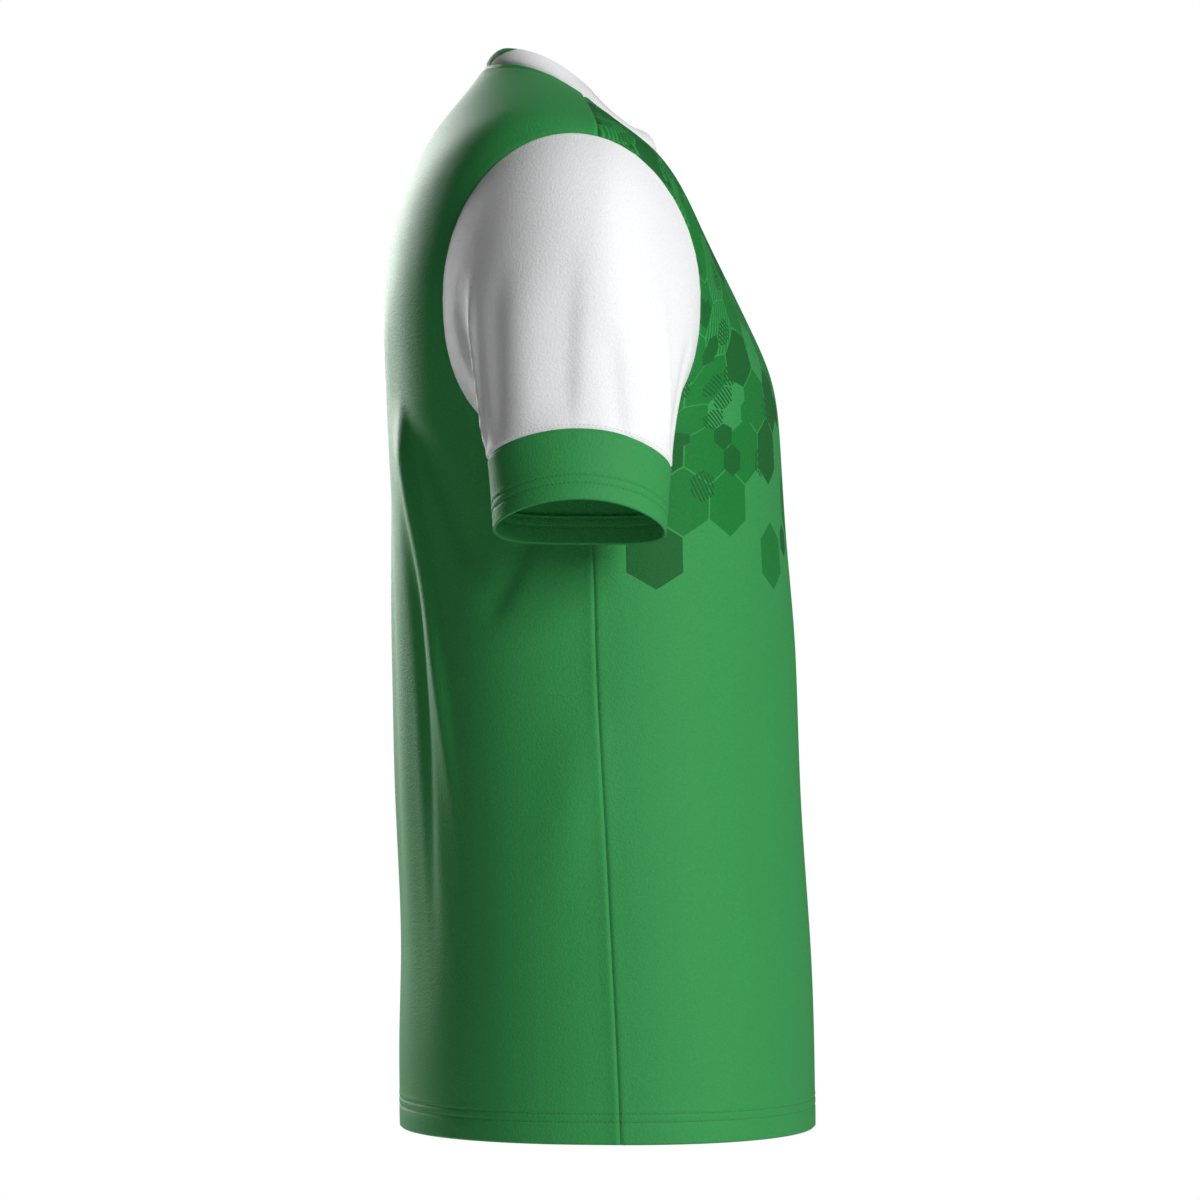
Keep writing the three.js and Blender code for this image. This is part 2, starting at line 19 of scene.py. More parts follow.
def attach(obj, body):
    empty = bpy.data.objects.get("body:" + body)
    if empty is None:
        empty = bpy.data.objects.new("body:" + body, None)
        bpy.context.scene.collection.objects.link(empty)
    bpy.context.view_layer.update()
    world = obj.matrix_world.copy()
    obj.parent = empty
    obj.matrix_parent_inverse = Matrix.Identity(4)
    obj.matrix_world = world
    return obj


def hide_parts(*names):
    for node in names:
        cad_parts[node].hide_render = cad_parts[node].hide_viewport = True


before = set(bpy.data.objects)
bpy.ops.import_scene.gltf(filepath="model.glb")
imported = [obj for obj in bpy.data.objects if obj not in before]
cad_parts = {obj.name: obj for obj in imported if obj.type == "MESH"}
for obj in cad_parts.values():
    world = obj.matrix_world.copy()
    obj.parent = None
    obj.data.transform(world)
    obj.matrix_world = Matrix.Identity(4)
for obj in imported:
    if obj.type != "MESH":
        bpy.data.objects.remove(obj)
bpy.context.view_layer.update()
LOG = logging.getLogger("jersey")
Array = np.ndarray
Colour = tuple[float, float, float]
Node = bpy.types.Node
Socket = bpy.types.NodeSocket
Tree = bpy.types.NodeTree

MM = 0.001
STEP = 1e-3  # the small step that directions are measured with, as a share of a turn
RING_STEP = 0.1  # the same along the body, in millimetres
HALVINGS = 40  # how often a search for a crossing halves its range
CLOTH = 0.9  # one layer of knit with its finish
OUTER = 0.8  # from a form's middle surface to the cloth's outside
INNER = OUTER - CLOTH
SEAM_STEPS = np.array([0.0, 0.5, 1.0, 1.6, 2.4, 3.5, 5.0, 7.0])  # rows of vertices beside a seam
NECK_STITCH = 5.0  # from the neck seam to its row of stitches
SLEEVE_STITCH = 2.4  # the same at the sleeve's end
UV_NAME = "cloth"
OUTSIDE = "outside"
MIRROR = np.array([-1.0, 1.0, 1.0])


def ease(share: Array) -> Array:
    """A step from 0 to 1 that starts and ends level."""
    clipped = np.clip(share, 0.0, 1.0)
    return clipped * clipped * (3 - 2 * clipped)


def unit(vectors: Array) -> Array:
    """The vectors at length 1."""
    return vectors / np.maximum(np.linalg.norm(vectors, axis=-1, keepdims=True), 1e-12)


def dot(first: Array, second: Array) -> Array:
    """The products of two arrays of vectors."""
    return np.sum(first * second, axis=-1)


def bell(distance: Array, width: float | Array) -> Array:
    """A soft bump, 1 at no distance."""
    return np.exp(-((distance / width) ** 2))


def crossing(test: Callable[[Array], Array], outside: Array, inside: Array) -> Array:
    """Finds where a test crosses zero.

    Args:
        test: above zero at outside and below it at inside.
        outside: where each search starts.
        inside: where each search ends.

    Returns:
        The values at which the test is zero.
    """
    low, high = np.broadcast_arrays(np.asarray(outside, float), np.asarray(inside, float))
    low, high = low.copy(), high.copy()
    for _ in range(HALVINGS):
        middle = (low + high) / 2
        above = test(middle) > 0
        low = np.where(above, middle, low)
        high = np.where(above, high, middle)
    return (low + high) / 2


def nearest(values: Array, wanted: float) -> int:
    """The index of the value closest to the one wanted."""
    return int(np.argmin(np.abs(values - wanted)))


def lengths_along(points: Array, axis: int) -> Array:
    """How far each point of a grid lies along its row or column, from the first one."""
    steps = np.linalg.norm(np.diff(points, axis=axis), axis=-1)
    start = np.zeros_like(np.take(steps, [0], axis=axis))
    return np.concatenate([start, np.cumsum(steps, axis=axis)], axis=axis)


class Facing(Enum):
    """The side of the body that a fold is drawn from."""

    RIGHT = (-1.0, 0.0)
    LEFT = (1.0, 0.0)
    FRONT = (0.0, -1.0)
    BACK = (0.0, 1.0)


@dataclass(frozen=True)
class BodyFold:
    """A soft ridge or trough of the body, drawn from one side.

    The first number of top and low is how far across that side the fold begins and ends, along Y
    on the two sides and along X on the front and the back. The second is its height.
    """

    facing: Facing
    top: tuple[float, float]
    low: tuple[float, float]
    bend: float
    height: float
    width: float
    lean: float = 0.0  # over 0, the flank on the high side of across is the gentler one
    fade: tuple[float, float] = (0.3, 0.55)

    LEAST_TURN = 0.35
    EDGE_TURN = 0.3

    def heights(self, points: Array, normals: Array) -> Array:
        """How far the fold moves the cloth out at each point."""
        towards = normals[..., 0] * self.facing.value[0] + normals[..., 1] * self.facing.value[1]
        towards = np.clip(towards, 0.0, 1.0)
        across = points[..., 1] if self.facing in (Facing.RIGHT, Facing.LEFT) else points[..., 0]
        down = (points[..., 2] - self.top[1]) / (self.low[1] - self.top[1])
        inside = (down > 0) & (down < 1)
        shape = ease(down / self.fade[0]) * ease((1 - down) / self.fade[1])
        middle = self.top[0] + (self.low[0] - self.top[0]) * down + self.bend * np.sin(np.pi * down)
        away = (across - middle) / (self.width * np.maximum(towards, self.LEAST_TURN))
        away = away / (1 + self.lean * np.tanh(away))
        height = self.height * shape * np.exp(-away * away) * ease(towards / self.EDGE_TURN)
        return np.where(inside, height, 0.0)


RING_COLUMNS = (
    "along frontZ frontY sideZ halfWidth middleWidth sideY backZ backY tilt fall squareFront squareBack"
).split()
BODY_RINGS = np.array([
    [0, -702, -159, -702, 199, 199, -25, -702, 125.5, 0, 3, 2.2, 2.2],
    [60, -642, -158.5, -642, 199, 199, -22.5, -642, 126, 0, 3, 2.2, 2.2],
    [118, -584, -156.5, -584, 198, 198, -19.5, -584, 124.5, 0, 3, 2.2, 2.2],
    [222, -480, -149, -480, 196, 196, -14, -480, 128, 0, 3, 2.2, 2.25],
    [330, -372, -144.5, -372, 194.5, 194.5, -8.5, -372, 131, 0, 3, 2.25, 2.35],
    [400, -302, -139, -302, 195, 195, -6, -302, 132.5, 0, 3, 2.35, 2.5],
    [464, -238, -135, -238, 198, 198, 0, -238, 133, 0, 3, 2.45, 2.65],
    [530, -189, -128, -174, 206, 203, 1, -184, 134.5, 0.03, 3, 2.5, 2.8],
    [580, -156, -114, -122, 213.5, 204, -2, -142, 136, 0.1, 3, 2.4, 2.9],
    [618, -130, -101, -82, 217, 199, -6, -113, 134, 0.16, 3, 2.3, 2.9],
    [650, -108, -89, -50, 214, 190, -9, -87, 129.5, 0.22, 3, 2.2, 2.85],
    [672, -96, -82.3, -33, 207, 182, -10, -70, 124.5, 0.26, 3, 2.1, 2.75],
    [700, -83, -75.2, -22, 185, 168, -8.5, -49, 116.5, 0.36, 2.8, 2.05, 2.6],
    [735, -68, -67.3, -13, 149, 145, -5.5, -24, 103.5, 0.5, 2.5, 2.0, 2.45],
    [772, -51, -58.7, -5.5, 111, 110.5, -2.5, 1.5, 84.5, 0.65, 2.2, 2.0, 2.25],
    [806, -33.6, -49.8, 0, 77, 77, 0, 25.8, 66.5, 0.77, 2, 2.05, 2.1],
])
NECK = BODY_RINGS[-1, 0]


def on_both_sides(*numbers: float) -> list[BodyFold]:
    """The same fold on the right and, a little different, on the left.

    Args:
        *numbers: a row of SIDE_FOLDS.

    Returns:
        The two folds.
    """
    moved, slid, grown = 4.0, 0.03, 0.12  # how far the left fold may differ
    topY, topZ, lowY, lowZ, bend, height, width, lean, *fade = numbers
    right = BodyFold(Facing.RIGHT, (topY, topZ), (lowY, lowZ), bend, height, width, lean, tuple(fade))
    shift = moved * math.sin(topZ)
    left = replace(
        right,
        facing=Facing.LEFT,
        low=(lowY + shift, lowZ * (1 + slid * math.cos(topZ))),
        bend=bend - shift / 2,
        height=height * (1 + grown * math.sin(lowZ)),
    )
    return [right, left]


# topY, topZ, lowY, lowZ, bend, height, width, lean, and the fades at the top and the low end
SIDE_FOLDS = [
    (124, -200, 84, -520, -2, 6.5, 13.0, 0.66, 0.16, 0.45),
    (122, -240, 98, -610, -1, -4.6, 10, 0.0, 0.3, 0.5),
    (114, -250, 82, -590, 3, -2.6, 14, 0.0, 0.3, 0.5),
    (108, -260, 76, -560, 5, -1.6, 24, 0.0, 0.3, 0.55),
    (120, -205, 49, -372, 0, -2.4, 14, -0.3, 0.3, 0.4),
    (28, -282, 68, -368, 0, -3.2, 10, 0.2, 0.3, 0.4),
    (-6, -400, 20, -560, 0, 3.0, 20, 0.0, 0.3, 0.5),
    (-70, -205, -100, -330, 3, 2.2, 18, 0.0, 0.3, 0.55),
]
FRONT_FOLDS = [
    (Facing.FRONT, (-118, -96), (-70, -250), 6, -1.6, 20),
    (Facing.FRONT, (122, -104), (78, -236), -5, -1.5, 18),
    (Facing.FRONT, (-60, -250), (-74, -690), 8, 2.2, 34),
    (Facing.FRONT, (48, -280), (66, -700), -7, 2.0, 30),
    (Facing.FRONT, (-8, -320), (-2, -700), 5, -1.8, 28),
    (Facing.FRONT, (-128, -330), (-136, -690), -4, -1.6, 26),
    (Facing.FRONT, (124, -360), (130, -680), 5, -1.7, 24),
    (Facing.BACK, (-96, -118), (-52, -300), 8, 1.8, 26),
    (Facing.BACK, (92, -110), (58, -312), -7, 1.9, 24),
    (Facing.BACK, (-30, -150), (-46, -700), 9, -2.6, 30),
    (Facing.BACK, (34, -170), (52, -700), -8, -2.4, 28),
    (Facing.BACK, (2, -240), (-4, -690), 6, 2.4, 24),
    (Facing.BACK, (-112, -260), (-104, -700), 7, -2.6, 24),
    (Facing.BACK, (110, -250), (106, -660), -6, -2.4, 26),
]


@dataclass(frozen=True)
class Armhole:
    """The armhole's egg, as it shows from the side."""

    y: float = 7.3
    half_depth: float = 85.0
    top: float = -33.0
    middle: float = -139.0
    bottom: float = -240.0
    power_up: float = 2.0
    power_down: float = 2.35
    middle_along: float = 580.0

    def outside(self, points: Array) -> Array:
        """Below zero inside the egg and above it outside."""
        up = points[..., 2] > self.middle
        half = np.where(up, self.top - self.middle, self.middle - self.bottom)
        power = np.where(up, self.power_up, self.power_down)
        across = np.abs(points[..., 1] - self.y) / self.half_depth
        return across**power + (np.abs(points[..., 2] - self.middle) / half) ** power - 1


@dataclass
class BodyForm:
    """The middle surface of the front and back panels, as one tube from the hem to the neck."""

    TUCK = 2.0
    TUCK_WIDTH = 9.0
    TUCK_REACH = 60.0
    TUCK_TOP = (380.0, 455.0)

    rings: Array = field(default_factory=lambda: BODY_RINGS)
    egg: Armhole = field(default_factory=Armhole)
    folds: list[BodyFold] = field(default_factory=list)

    def __post_init__(self) -> None:
        """Works out the bends of the curves through the rings and the ends of the armhole."""
        knots = self.rings[:, 0]
        width = np.diff(knots)
        slope = np.diff(self.rings, axis=0) / width[:, None]
        system = np.eye(len(knots))
        right = np.zeros_like(self.rings)
        for k in range(1, len(knots) - 1):
            system[k, k - 1 : k + 2] = width[k - 1], 2 * (width[k - 1] + width[k]), width[k]
            right[k] = 6 * (slope[k] - slope[k - 1])
        self.bends = np.linalg.solve(system, right)
        if not self.folds:
            for row in SIDE_FOLDS:
                self.folds += on_both_sides(*row)
            self.folds += [BodyFold(*row) for row in FRONT_FOLDS]
        at_seam = lambda along: self.egg.outside(self.plain(along, np.ones_like(along)))
        middle = np.array([self.egg.middle_along] * 2)
        self.underarm, self.shoulder = crossing(at_seam, np.array([0.0, NECK]), middle)

    def ring(self, along: Array) -> dict[str, Array]:
        """Every column of the rings' table at the given places along the body."""
        knots = self.rings[:, 0]
        low = np.clip(np.searchsorted(knots, along, side="right") - 1, 0, len(knots) - 2)
        width = knots[low + 1] - knots[low]
        u, v = (knots[low + 1] - along) / width, (along - knots[low]) / width
        curve = (u**3 - u)[..., None] * self.bends[low] + (v**3 - v)[..., None] * self.bends[low + 1]
        values = u[..., None] * self.rings[low] + v[..., None] * self.rings[low + 1]
        values = values + curve * (width**2 / 6)[..., None]
        return {name: values[..., k] for k, name in enumerate(RING_COLUMNS)}

    def plain(self, along: Array, turned: Array) -> Array:
        """Points of the form with no folds.

        Args:
            along: from 0 at the hem up to the neck seam.
            turned: 0 at the middle of the front, 1 at the right side seam and 2 at the middle of
                the back, and below 0 on the left.

        Returns:
            The points, in millimetres.
        """
        along, turned = np.broadcast_arrays(np.asarray(along, float), np.asarray(turned, float))
        turned = np.where(np.abs(turned) > 2, turned - 4 * np.sign(turned), turned)
        ring = self.ring(along)
        angle = np.abs(turned) * np.pi / 2
        front = np.abs(turned) < 1
        square = np.where(front, ring["squareFront"], ring["squareBack"])
        depth = np.where(front, ring["frontY"], ring["backY"]) - ring["sideY"]
        rise = np.where(front, ring["frontZ"], ring["backZ"]) - ring["sideZ"]
        sine, cosine = np.sin(angle), np.abs(np.cos(angle))
        middle_width, side_width = ring["middleWidth"], ring["halfWidth"]
        half_width = middle_width + (side_width - middle_width) * sine**4
        wide, deep = sine / half_width, cosine / np.abs(depth)
        radius = (wide**square + deep**square) ** (-1 / square)
        share = radius * deep
        lift = ring["tilt"] * depth * share * (1 - share) + rise * share ** ring["fall"]
        sign = np.where(turned < 0, 1.0, -1.0)
        x = sign * radius * sine
        y = ring["sideY"] + np.sign(depth) * radius * cosine
        return np.stack([x, y, ring["sideZ"] + lift], axis=-1)

    def plain_normals(self, along: Array, turned: Array) -> Array:
        """The outward directions of the form with no folds."""
        up = self.plain(along + RING_STEP, turned) - self.plain(along - RING_STEP, turned)
        round_ = self.plain(along, turned + STEP) - self.plain(along, turned - STEP)
        return unit(np.cross(up, round_))

    def surface(self, along: Array, turned: Array) -> Array:
        """Points of the form with its folds."""
        points = self.plain(along, turned)
        normals = self.plain_normals(along, turned)
        heights = sum(fold.heights(points, normals) for fold in self.folds)
        heights = heights - self.tuck(along, turned, points)
        return points + normals * heights[..., None]

    def tuck(self, along: Array, turned: Array, points: Array) -> Array:
        """How far the back panel lies in behind the side seam, where its cloth turns a corner."""
        along, turned = np.broadcast_arrays(np.asarray(along, float), np.asarray(turned, float))
        away = np.maximum(points[..., 1] - self.ring(along)["sideY"], 0.0)
        depth = self.TUCK * (1 - np.exp(-away / self.TUCK_WIDTH)) * np.exp(-away / self.TUCK_REACH)
        low, high = self.TUCK_TOP
        fading = 1 - ease((along - low) / (high - low))
        return np.where(np.abs(turned) > 1, depth * fading, 0.0)

    def normals(self, along: Array, turned: Array) -> Array:
        """The outward directions of the form with its folds."""
        up = self.surface(along + RING_STEP, turned) - self.surface(along - RING_STEP, turned)
        round_ = self.surface(along, turned + STEP) - self.surface(along, turned - STEP)
        return unit(np.cross(up, round_))

    def edge(self, along: Array, is_front: Array | bool) -> Array:
        """A panel's edge on the right side, as a turn: a seam at 1, or the armhole."""
        inner = np.where(is_front, 0.0, 2.0) * np.ones_like(along)
        found = crossing(lambda t: self.egg.outside(self.plain(along, t)), inner, np.ones_like(along))
        beside = (along > self.underarm) & (along < self.shoulder)
        return np.where(beside, found, 1.0)

    def armhole(self, turn: Array) -> tuple[Array, Array]:
        """Places on the armhole's edge.

        Args:
            turn: from 0 at the top over the back, the underarm and the front, to 1.

        Returns:
            Their places along the body and round it.
        """
        wrapped = np.mod(turn, 1.0)
        share = (1 + np.cos(2 * np.pi * wrapped)) / 2
        along = self.underarm + (self.shoulder - self.underarm) * share
        return along, self.edge(along, wrapped > 0.5)


@dataclass
class Seam:
    """A sewn line, into which the cloth on both sides of it dips."""

    line: Array
    outward: Array
    depth: float = 1.0
    reach: float = 1.1
    swell: float = 0.22
    pucker: float = 0.07

    SWELL_AT = 3.6
    SWELL_WIDTH = 2.4
    PUCKER_REACH = 6.0
    COARSE = 12
    FAR = 38.0  # past this the swell doesn't reach, even from between two coarse places
    PUCKER_WAVES = ((9.0, 0.4), (14.5, 1.9), (23.0, 3.1))

    def sink(self, points: Array, normals: Array) -> tuple[Array, Array]:
        """Dips a grid of points into the seam.

        Args:
            points: the grid's points.
            normals: their outward directions.

        Returns:
            The moved points, and the directions, which turn to the seam's own beside it.
        """
        shape = points.shape
        all_points, all_normals = points.reshape(-1, 3).copy(), normals.reshape(-1, 3).copy()
        coarse = KDTree(len(self.line) // self.COARSE + 1)
        for k, place in enumerate(self.line[:: self.COARSE]):
            coarse.insert(place, k)
        coarse.balance()
        rough = np.array([coarse.find(place)[2] for place in all_points[::2]])
        near = np.repeat(rough < self.SWELL_AT + self.FAR, 2)[: len(all_points)]
        if not np.any(near):
            return points, normals
        tree = KDTree(len(self.line))
        for k, place in enumerate(self.line):
            tree.insert(place, k)
        tree.balance()
        flat, normals = all_points[near], all_normals[near]
        found = [tree.find(place)[1:] for place in flat]
        nearest = np.array([hit[0] for hit in found])
        away = np.array([hit[1] for hit in found])
        run = lengths_along(self.line, 0)[nearest]
        waves = sum(np.sin(2 * np.pi * run / wave + phase) for wave, phase in self.PUCKER_WAVES)
        share = bell(away, self.reach)[:, None]
        out = self.outward[nearest]
        facing = normals.reshape(-1, 3)
        raised = self.swell * bell(away - self.SWELL_AT, self.SWELL_WIDTH)
        raised = raised + self.pucker * waves * np.exp(-away / self.PUCKER_REACH)
        moved = flat - out * share * self.depth + facing * (raised[:, None] * (1 - share))
        turned = unit(facing * (1 - share) + out * share)
        all_points[near], all_normals[near] = moved, turned
        return all_points.reshape(shape), all_normals.reshape(shape)


@dataclass
class Shell:
    """A closed wall of cloth, made from a grid of points on its middle surface."""

    name: str
    points: Array
    normals: Array
    outer: Array | float = OUTER
    inner: Array | float = INNER
    closed: bool = False
    uv_centre: bool = False

    def __post_init__(self) -> None:
        """Works out the two faces of the wall."""
        rows, columns = self.points.shape[:2]
        spread = lambda value: np.broadcast_to(np.asarray(value, float), (rows, columns))[..., None]
        self.outside = self.points + self.normals * spread(self.outer)
        self.inside = self.points + self.normals * spread(self.inner)

    def flat_places(self) -> Array:
        """Each point's place on the flat cloth, in metres, with one column more on a ring."""
        grid = np.concatenate([self.points, self.points[:, :1]], axis=1) if self.closed else self.points
        across = lengths_along(grid, 1)
        up = lengths_along(grid, 0)
        if self.uv_centre:
            middle = grid.shape[1] // 2
            across = across - across[:, middle : middle + 1]
        return np.stack([across, up], axis=-1) * MM

    def rims(self) -> list[list[tuple[int, int]]]:
        """The open edges of the grid, as loops of rows and columns."""
        rows, columns = self.points.shape[:2]
        if self.closed:
            return [[(row, j) for j in range(columns)] for row in (0, rows - 1)]
        low = [(0, j) for j in range(columns - 1)]
        right = [(i, columns - 1) for i in range(rows - 1)]
        high = [(rows - 1, j) for j in range(columns - 1, 0, -1)]
        left = [(i, 0) for i in range(rows - 1, 0, -1)]
        return [low + right + high + left]

    def wall_faces(self, wide: int) -> tuple[Array, Array]:
        """The corners of the outside's faces, as vertices and as flat places.

        Args:
            wide: how many flat places there are in a row.

        Returns:
            The two arrays of indices.
        """
        rows, columns = self.points.shape[:2]
        i, j = np.meshgrid(np.arange(rows - 1), np.arange(wide - 1), indexing="ij")
        corners = [(i, j), (i, j + 1), (i + 1, j + 1), (i + 1, j)]
        index = np.stack([a * columns + b % columns for a, b in corners], axis=-1).reshape(-1, 4)
        places = np.stack([a * wide + b for a, b in corners], axis=-1).reshape(-1, 4)
        across = (self.points[:, 1] - self.points[:, 0])[: rows - 1]
        facing = np.cross(across, self.points[1:, 0] - self.points[:-1, 0])
        if np.sum(dot(facing, self.normals[:-1, 0])) < 0:
            index, places = index[:, ::-1], places[:, ::-1]
        return index, places

    def rim(self, loop: list[tuple[int, int]], base: int, wide: int) -> tuple[Array, Array, Array]:
        """A rounded edge between the outside and the inside.

        Args:
            loop: the rows and columns of the edge.
            base: the index of the edge's first new vertex.
            wide: how many flat places there are in a row.

        Returns:
            The new vertices, and the corners of the faces as vertices and as flat places.
        """
        rows, columns = self.points.shape[:2]
        row, column = np.array(loop).T
        back_row = np.clip(row, 1, rows - 2)
        back_column = column if self.closed else np.clip(column, 1, columns - 2)
        out = unit(self.points[row, column] - self.points[back_row, back_column])
        high, low = self.outside[row, column], self.inside[row, column]
        reach = np.linalg.norm(high - low, axis=1)[:, None] / 2
        following = np.roll(np.arange(len(row)), -1)
        ids = row * columns + column
        rim_ids = base + np.arange(len(ids))
        bands = []
        for first, second in ((ids, rim_ids), (rim_ids, ids + rows * columns)):
            bands.append(np.stack([first, first[following], second[following], second], axis=-1))
        place_ids = row * wide + column
        one = np.stack([place_ids, place_ids[following]], axis=-1)
        pairs = np.concatenate([one, one[:, ::-1]], axis=1)
        faces, places = np.concatenate(bands), np.concatenate([pairs, pairs])
        turn = np.sum(dot(np.cross(high[following] - high, low - high), out))
        if turn <= 0:
            faces, places = faces[:, ::-1], places[:, ::-1]
        return (high + low) / 2 + out * reach, faces, places

    def build(self, material: bpy.types.Material) -> bpy.types.Object:
        """Makes the mesh object, in metres, with its flat places and its outside marked."""
        flat = self.flat_places()
        wide = flat.shape[1]
        index, index_places = self.wall_faces(wide)
        vertices = [self.outside.reshape(-1, 3), self.inside.reshape(-1, 3)]
        count = len(vertices[0])
        faces = [index, index[:, ::-1] + count]
        places = [index_places, index_places[:, ::-1]]
        base = 2 * count
        for loop in self.rims():
            edge, edge_faces, edge_places = self.rim(loop, base, wide)
            base += len(edge)
            vertices.append(edge)
            faces.append(edge_faces)
            places.append(edge_places)
        made = mesh_object(self.name, np.concatenate(vertices) * MM, np.concatenate(faces), material)
        layer = made.data.uv_layers.new(name=UV_NAME)
        layer.data.foreach_set("uv", flat.reshape(-1, 2)[np.concatenate(places)].ravel())
        marks = np.zeros(base)
        marks[:count] = 1.0
        attribute = made.data.attributes.new(OUTSIDE, "FLOAT", "POINT")
        attribute.data.foreach_set("value", marks)
        return made


def new_material(name: str) -> tuple[bpy.types.Material, "Nodes", Node]:
    """Makes a material, a helper for its nodes and its Principled shader."""
    made = bpy.data.materials.new(name)
    made.use_nodes = True
    return made, Nodes(made.node_tree), made.node_tree.nodes["Principled BSDF"]


def linked(name: str, data: bpy.types.ID) -> bpy.types.Object:
    """Makes an object of its data and puts it in the scene."""
    made = bpy.data.objects.new(name, data)
    bpy.context.scene.collection.objects.link(made)
    return made


def mesh_object(name: str, vertices: Array, faces: Array, material: bpy.types.Material) -> bpy.types.Object:
    """Makes a smooth mesh object from arrays.

    Args:
        name: the object's name.
        vertices: the points, in metres.
        faces: the indices of the corners, as many for every face.
        material: the finish of every face.

    Returns:
        The object, linked to the scene.
    """
    mesh = bpy.data.meshes.new(name)
    sides = faces.shape[1]
    mesh.vertices.add(len(vertices))
    mesh.vertices.foreach_set("co", vertices.ravel())
    mesh.loops.add(faces.size)
    mesh.loops.foreach_set("vertex_index", faces.ravel().astype(np.int32))
    mesh.polygons.add(len(faces))
    mesh.polygons.foreach_set("loop_start", np.arange(0, faces.size, sides, dtype=np.int32))
    mesh.polygons.foreach_set("use_smooth", np.ones(len(faces), dtype=bool))
    mesh.update(calc_edges=True)
    mesh.validate()
    mesh.materials.append(material)
    return linked(name, mesh)


def settle(piece: bpy.types.Object, slot: str, *nodes: str) -> None:
    """Puts a piece on the body and lets it stand for the nodes named."""
    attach(piece, "root")
    if nodes:
        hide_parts(*nodes)
    LOG.info("%s: %d faces", piece.name, len(piece.data.polygons))


@dataclass
class Hem:
    """A turned and twin-stitched edge: how the wall thickens towards it, and its rows of stitches."""

    turning: float
    rows: tuple[float, float]
    swell: float = 0.3
    groove: float = 0.55
    groove_width: float = 0.75
    ledge: float = 0.4
    folded: float = 0.8 * CLOTH

    def steps(self) -> Array:
        """Where the rows of vertices lie, from the edge to a little past the turning."""
        beside = np.array([-1.5, -0.7, 0.0, 0.7, 1.5])
        marks = [0.0, 0.7, 1.8, 4.0, 7.0]
        for row in sorted(self.rows):
            marks += list(row + beside)
        marks += [self.turning - self.ledge / 2, self.turning + self.ledge / 2, self.turning + 2.5]
        return np.array(sorted(set(marks)))

    def walls(self, away: Array) -> tuple[Array, Array]:
        """The offsets of the wall's outside and inside at the given distances from the edge."""
        doubled = 1 - ease((away - self.turning + self.ledge / 2) / self.ledge)
        soft = 1 - ease((away - self.turning + 1.5) / 3.0)
        pulled = sum(bell(away - row, self.groove_width) for row in self.rows) * self.groove
        return OUTER + self.swell * soft - pulled, INNER - self.folded * doubled + pulled / 2

    def stitch_rows(self, shell: Shell) -> list[tuple[Array, Array, bool]]:
        """The lines of stitches outside and inside, with their outward directions."""
        rows = []
        for mark in self.rows:
            row = nearest(self.steps(), mark)
            rows.append((shell.outside[row], shell.normals[row], shell.closed))
            rows.append((shell.inside[row], -shell.normals[row], shell.closed))
        return rows


BODY_HEM = Hem(turning=22.5, rows=(14.0, 19.5))
CUFF_HEM = Hem(turning=18.6, rows=(10.6, 16.0))


@dataclass
class StitchRow:
    """A row of stitches along a line on the cloth."""

    pitch: float = 2.8
    gap: float = 0.6
    radius: float = 0.24
    lift: float = 0.12

    SIDES = 6
    PLACES = np.array([0.0, 0.16, 0.5, 0.84, 1.0])
    GIRTHS = np.array([0.35, 0.9, 1.0, 0.9, 0.35])

    def arrays(self, line: Array, normals: Array, closed: bool) -> tuple[Array, Array]:
        """The vertices, in millimetres, and the faces of every stitch in the row."""
        if closed:
            line = np.concatenate([line, line[:1]])
            normals = np.concatenate([normals, normals[:1]])
        run = lengths_along(line, 0)
        count = max(int(round(run[-1] / self.pitch)), 1)
        pitch = run[-1] / count
        start = np.arange(count) * pitch + self.gap / 2
        at = start[:, None] + self.PLACES[None] * (pitch - self.gap)
        sample = lambda values, s: np.stack([np.interp(s, run, values[:, k]) for k in range(3)], axis=-1)
        centre = sample(line, at)
        out = unit(sample(normals, at))
        ahead = unit(sample(line, at + 0.1) - sample(line, at - 0.1))
        side = unit(np.cross(ahead, out))
        centre = centre + out * (self.lift * np.sin(np.pi * self.PLACES) - self.lift / 2)[None, :, None]
        angle = 2 * np.pi * np.arange(self.SIDES) / self.SIDES
        girth = (self.radius * self.GIRTHS)[None, :, None, None]
        ring = side[:, :, None] * np.cos(angle)[None, None, :, None]
        ring = ring + out[:, :, None] * np.sin(angle)[None, None, :, None]
        vertices = (centre[:, :, None] + ring * girth).reshape(-1, 3)
        stops = len(self.PLACES)
        i, j = np.meshgrid(np.arange(stops - 1), np.arange(self.SIDES), indexing="ij")
        following = (j + 1) % self.SIDES
        quads = [i * self.SIDES + j, (i + 1) * self.SIDES + j]
        quads += [(i + 1) * self.SIDES + following, i * self.SIDES + following]
        walls = np.stack(quads, axis=-1).reshape(-1, 4)
        last = (stops - 1) * self.SIDES
        ends = np.array([[0, 1, 2, 3], [0, 3, 4, 5], [3, 2, 1, 0], [5, 4, 3, 0]])
        ends[2:] += last
        one = np.concatenate([walls, ends])
        shift = np.arange(count)[:, None, None] * stops * self.SIDES
        return vertices, (one[None] + shift).reshape(-1, 4)


def stitches(name: str, rows: Sequence[tuple[Array, Array, bool]], finish: "Thread") -> bpy.types.Object:
    """Makes one piece of several rows of stitches.

    Args:
        name: the piece's name.
        rows: for each row its line, its outward directions and whether it closes on itself.
        finish: the thread.

    Returns:
        The piece.
    """
    vertices, faces, base = [], [], 0
    for line, normals, closed in rows:
        places, corners = StitchRow().arrays(line, normals, closed)
        vertices.append(places)
        faces.append(corners + base)
        base += len(places)
    return mesh_object(name, np.concatenate(vertices) * MM, np.concatenate(faces), finish.material())


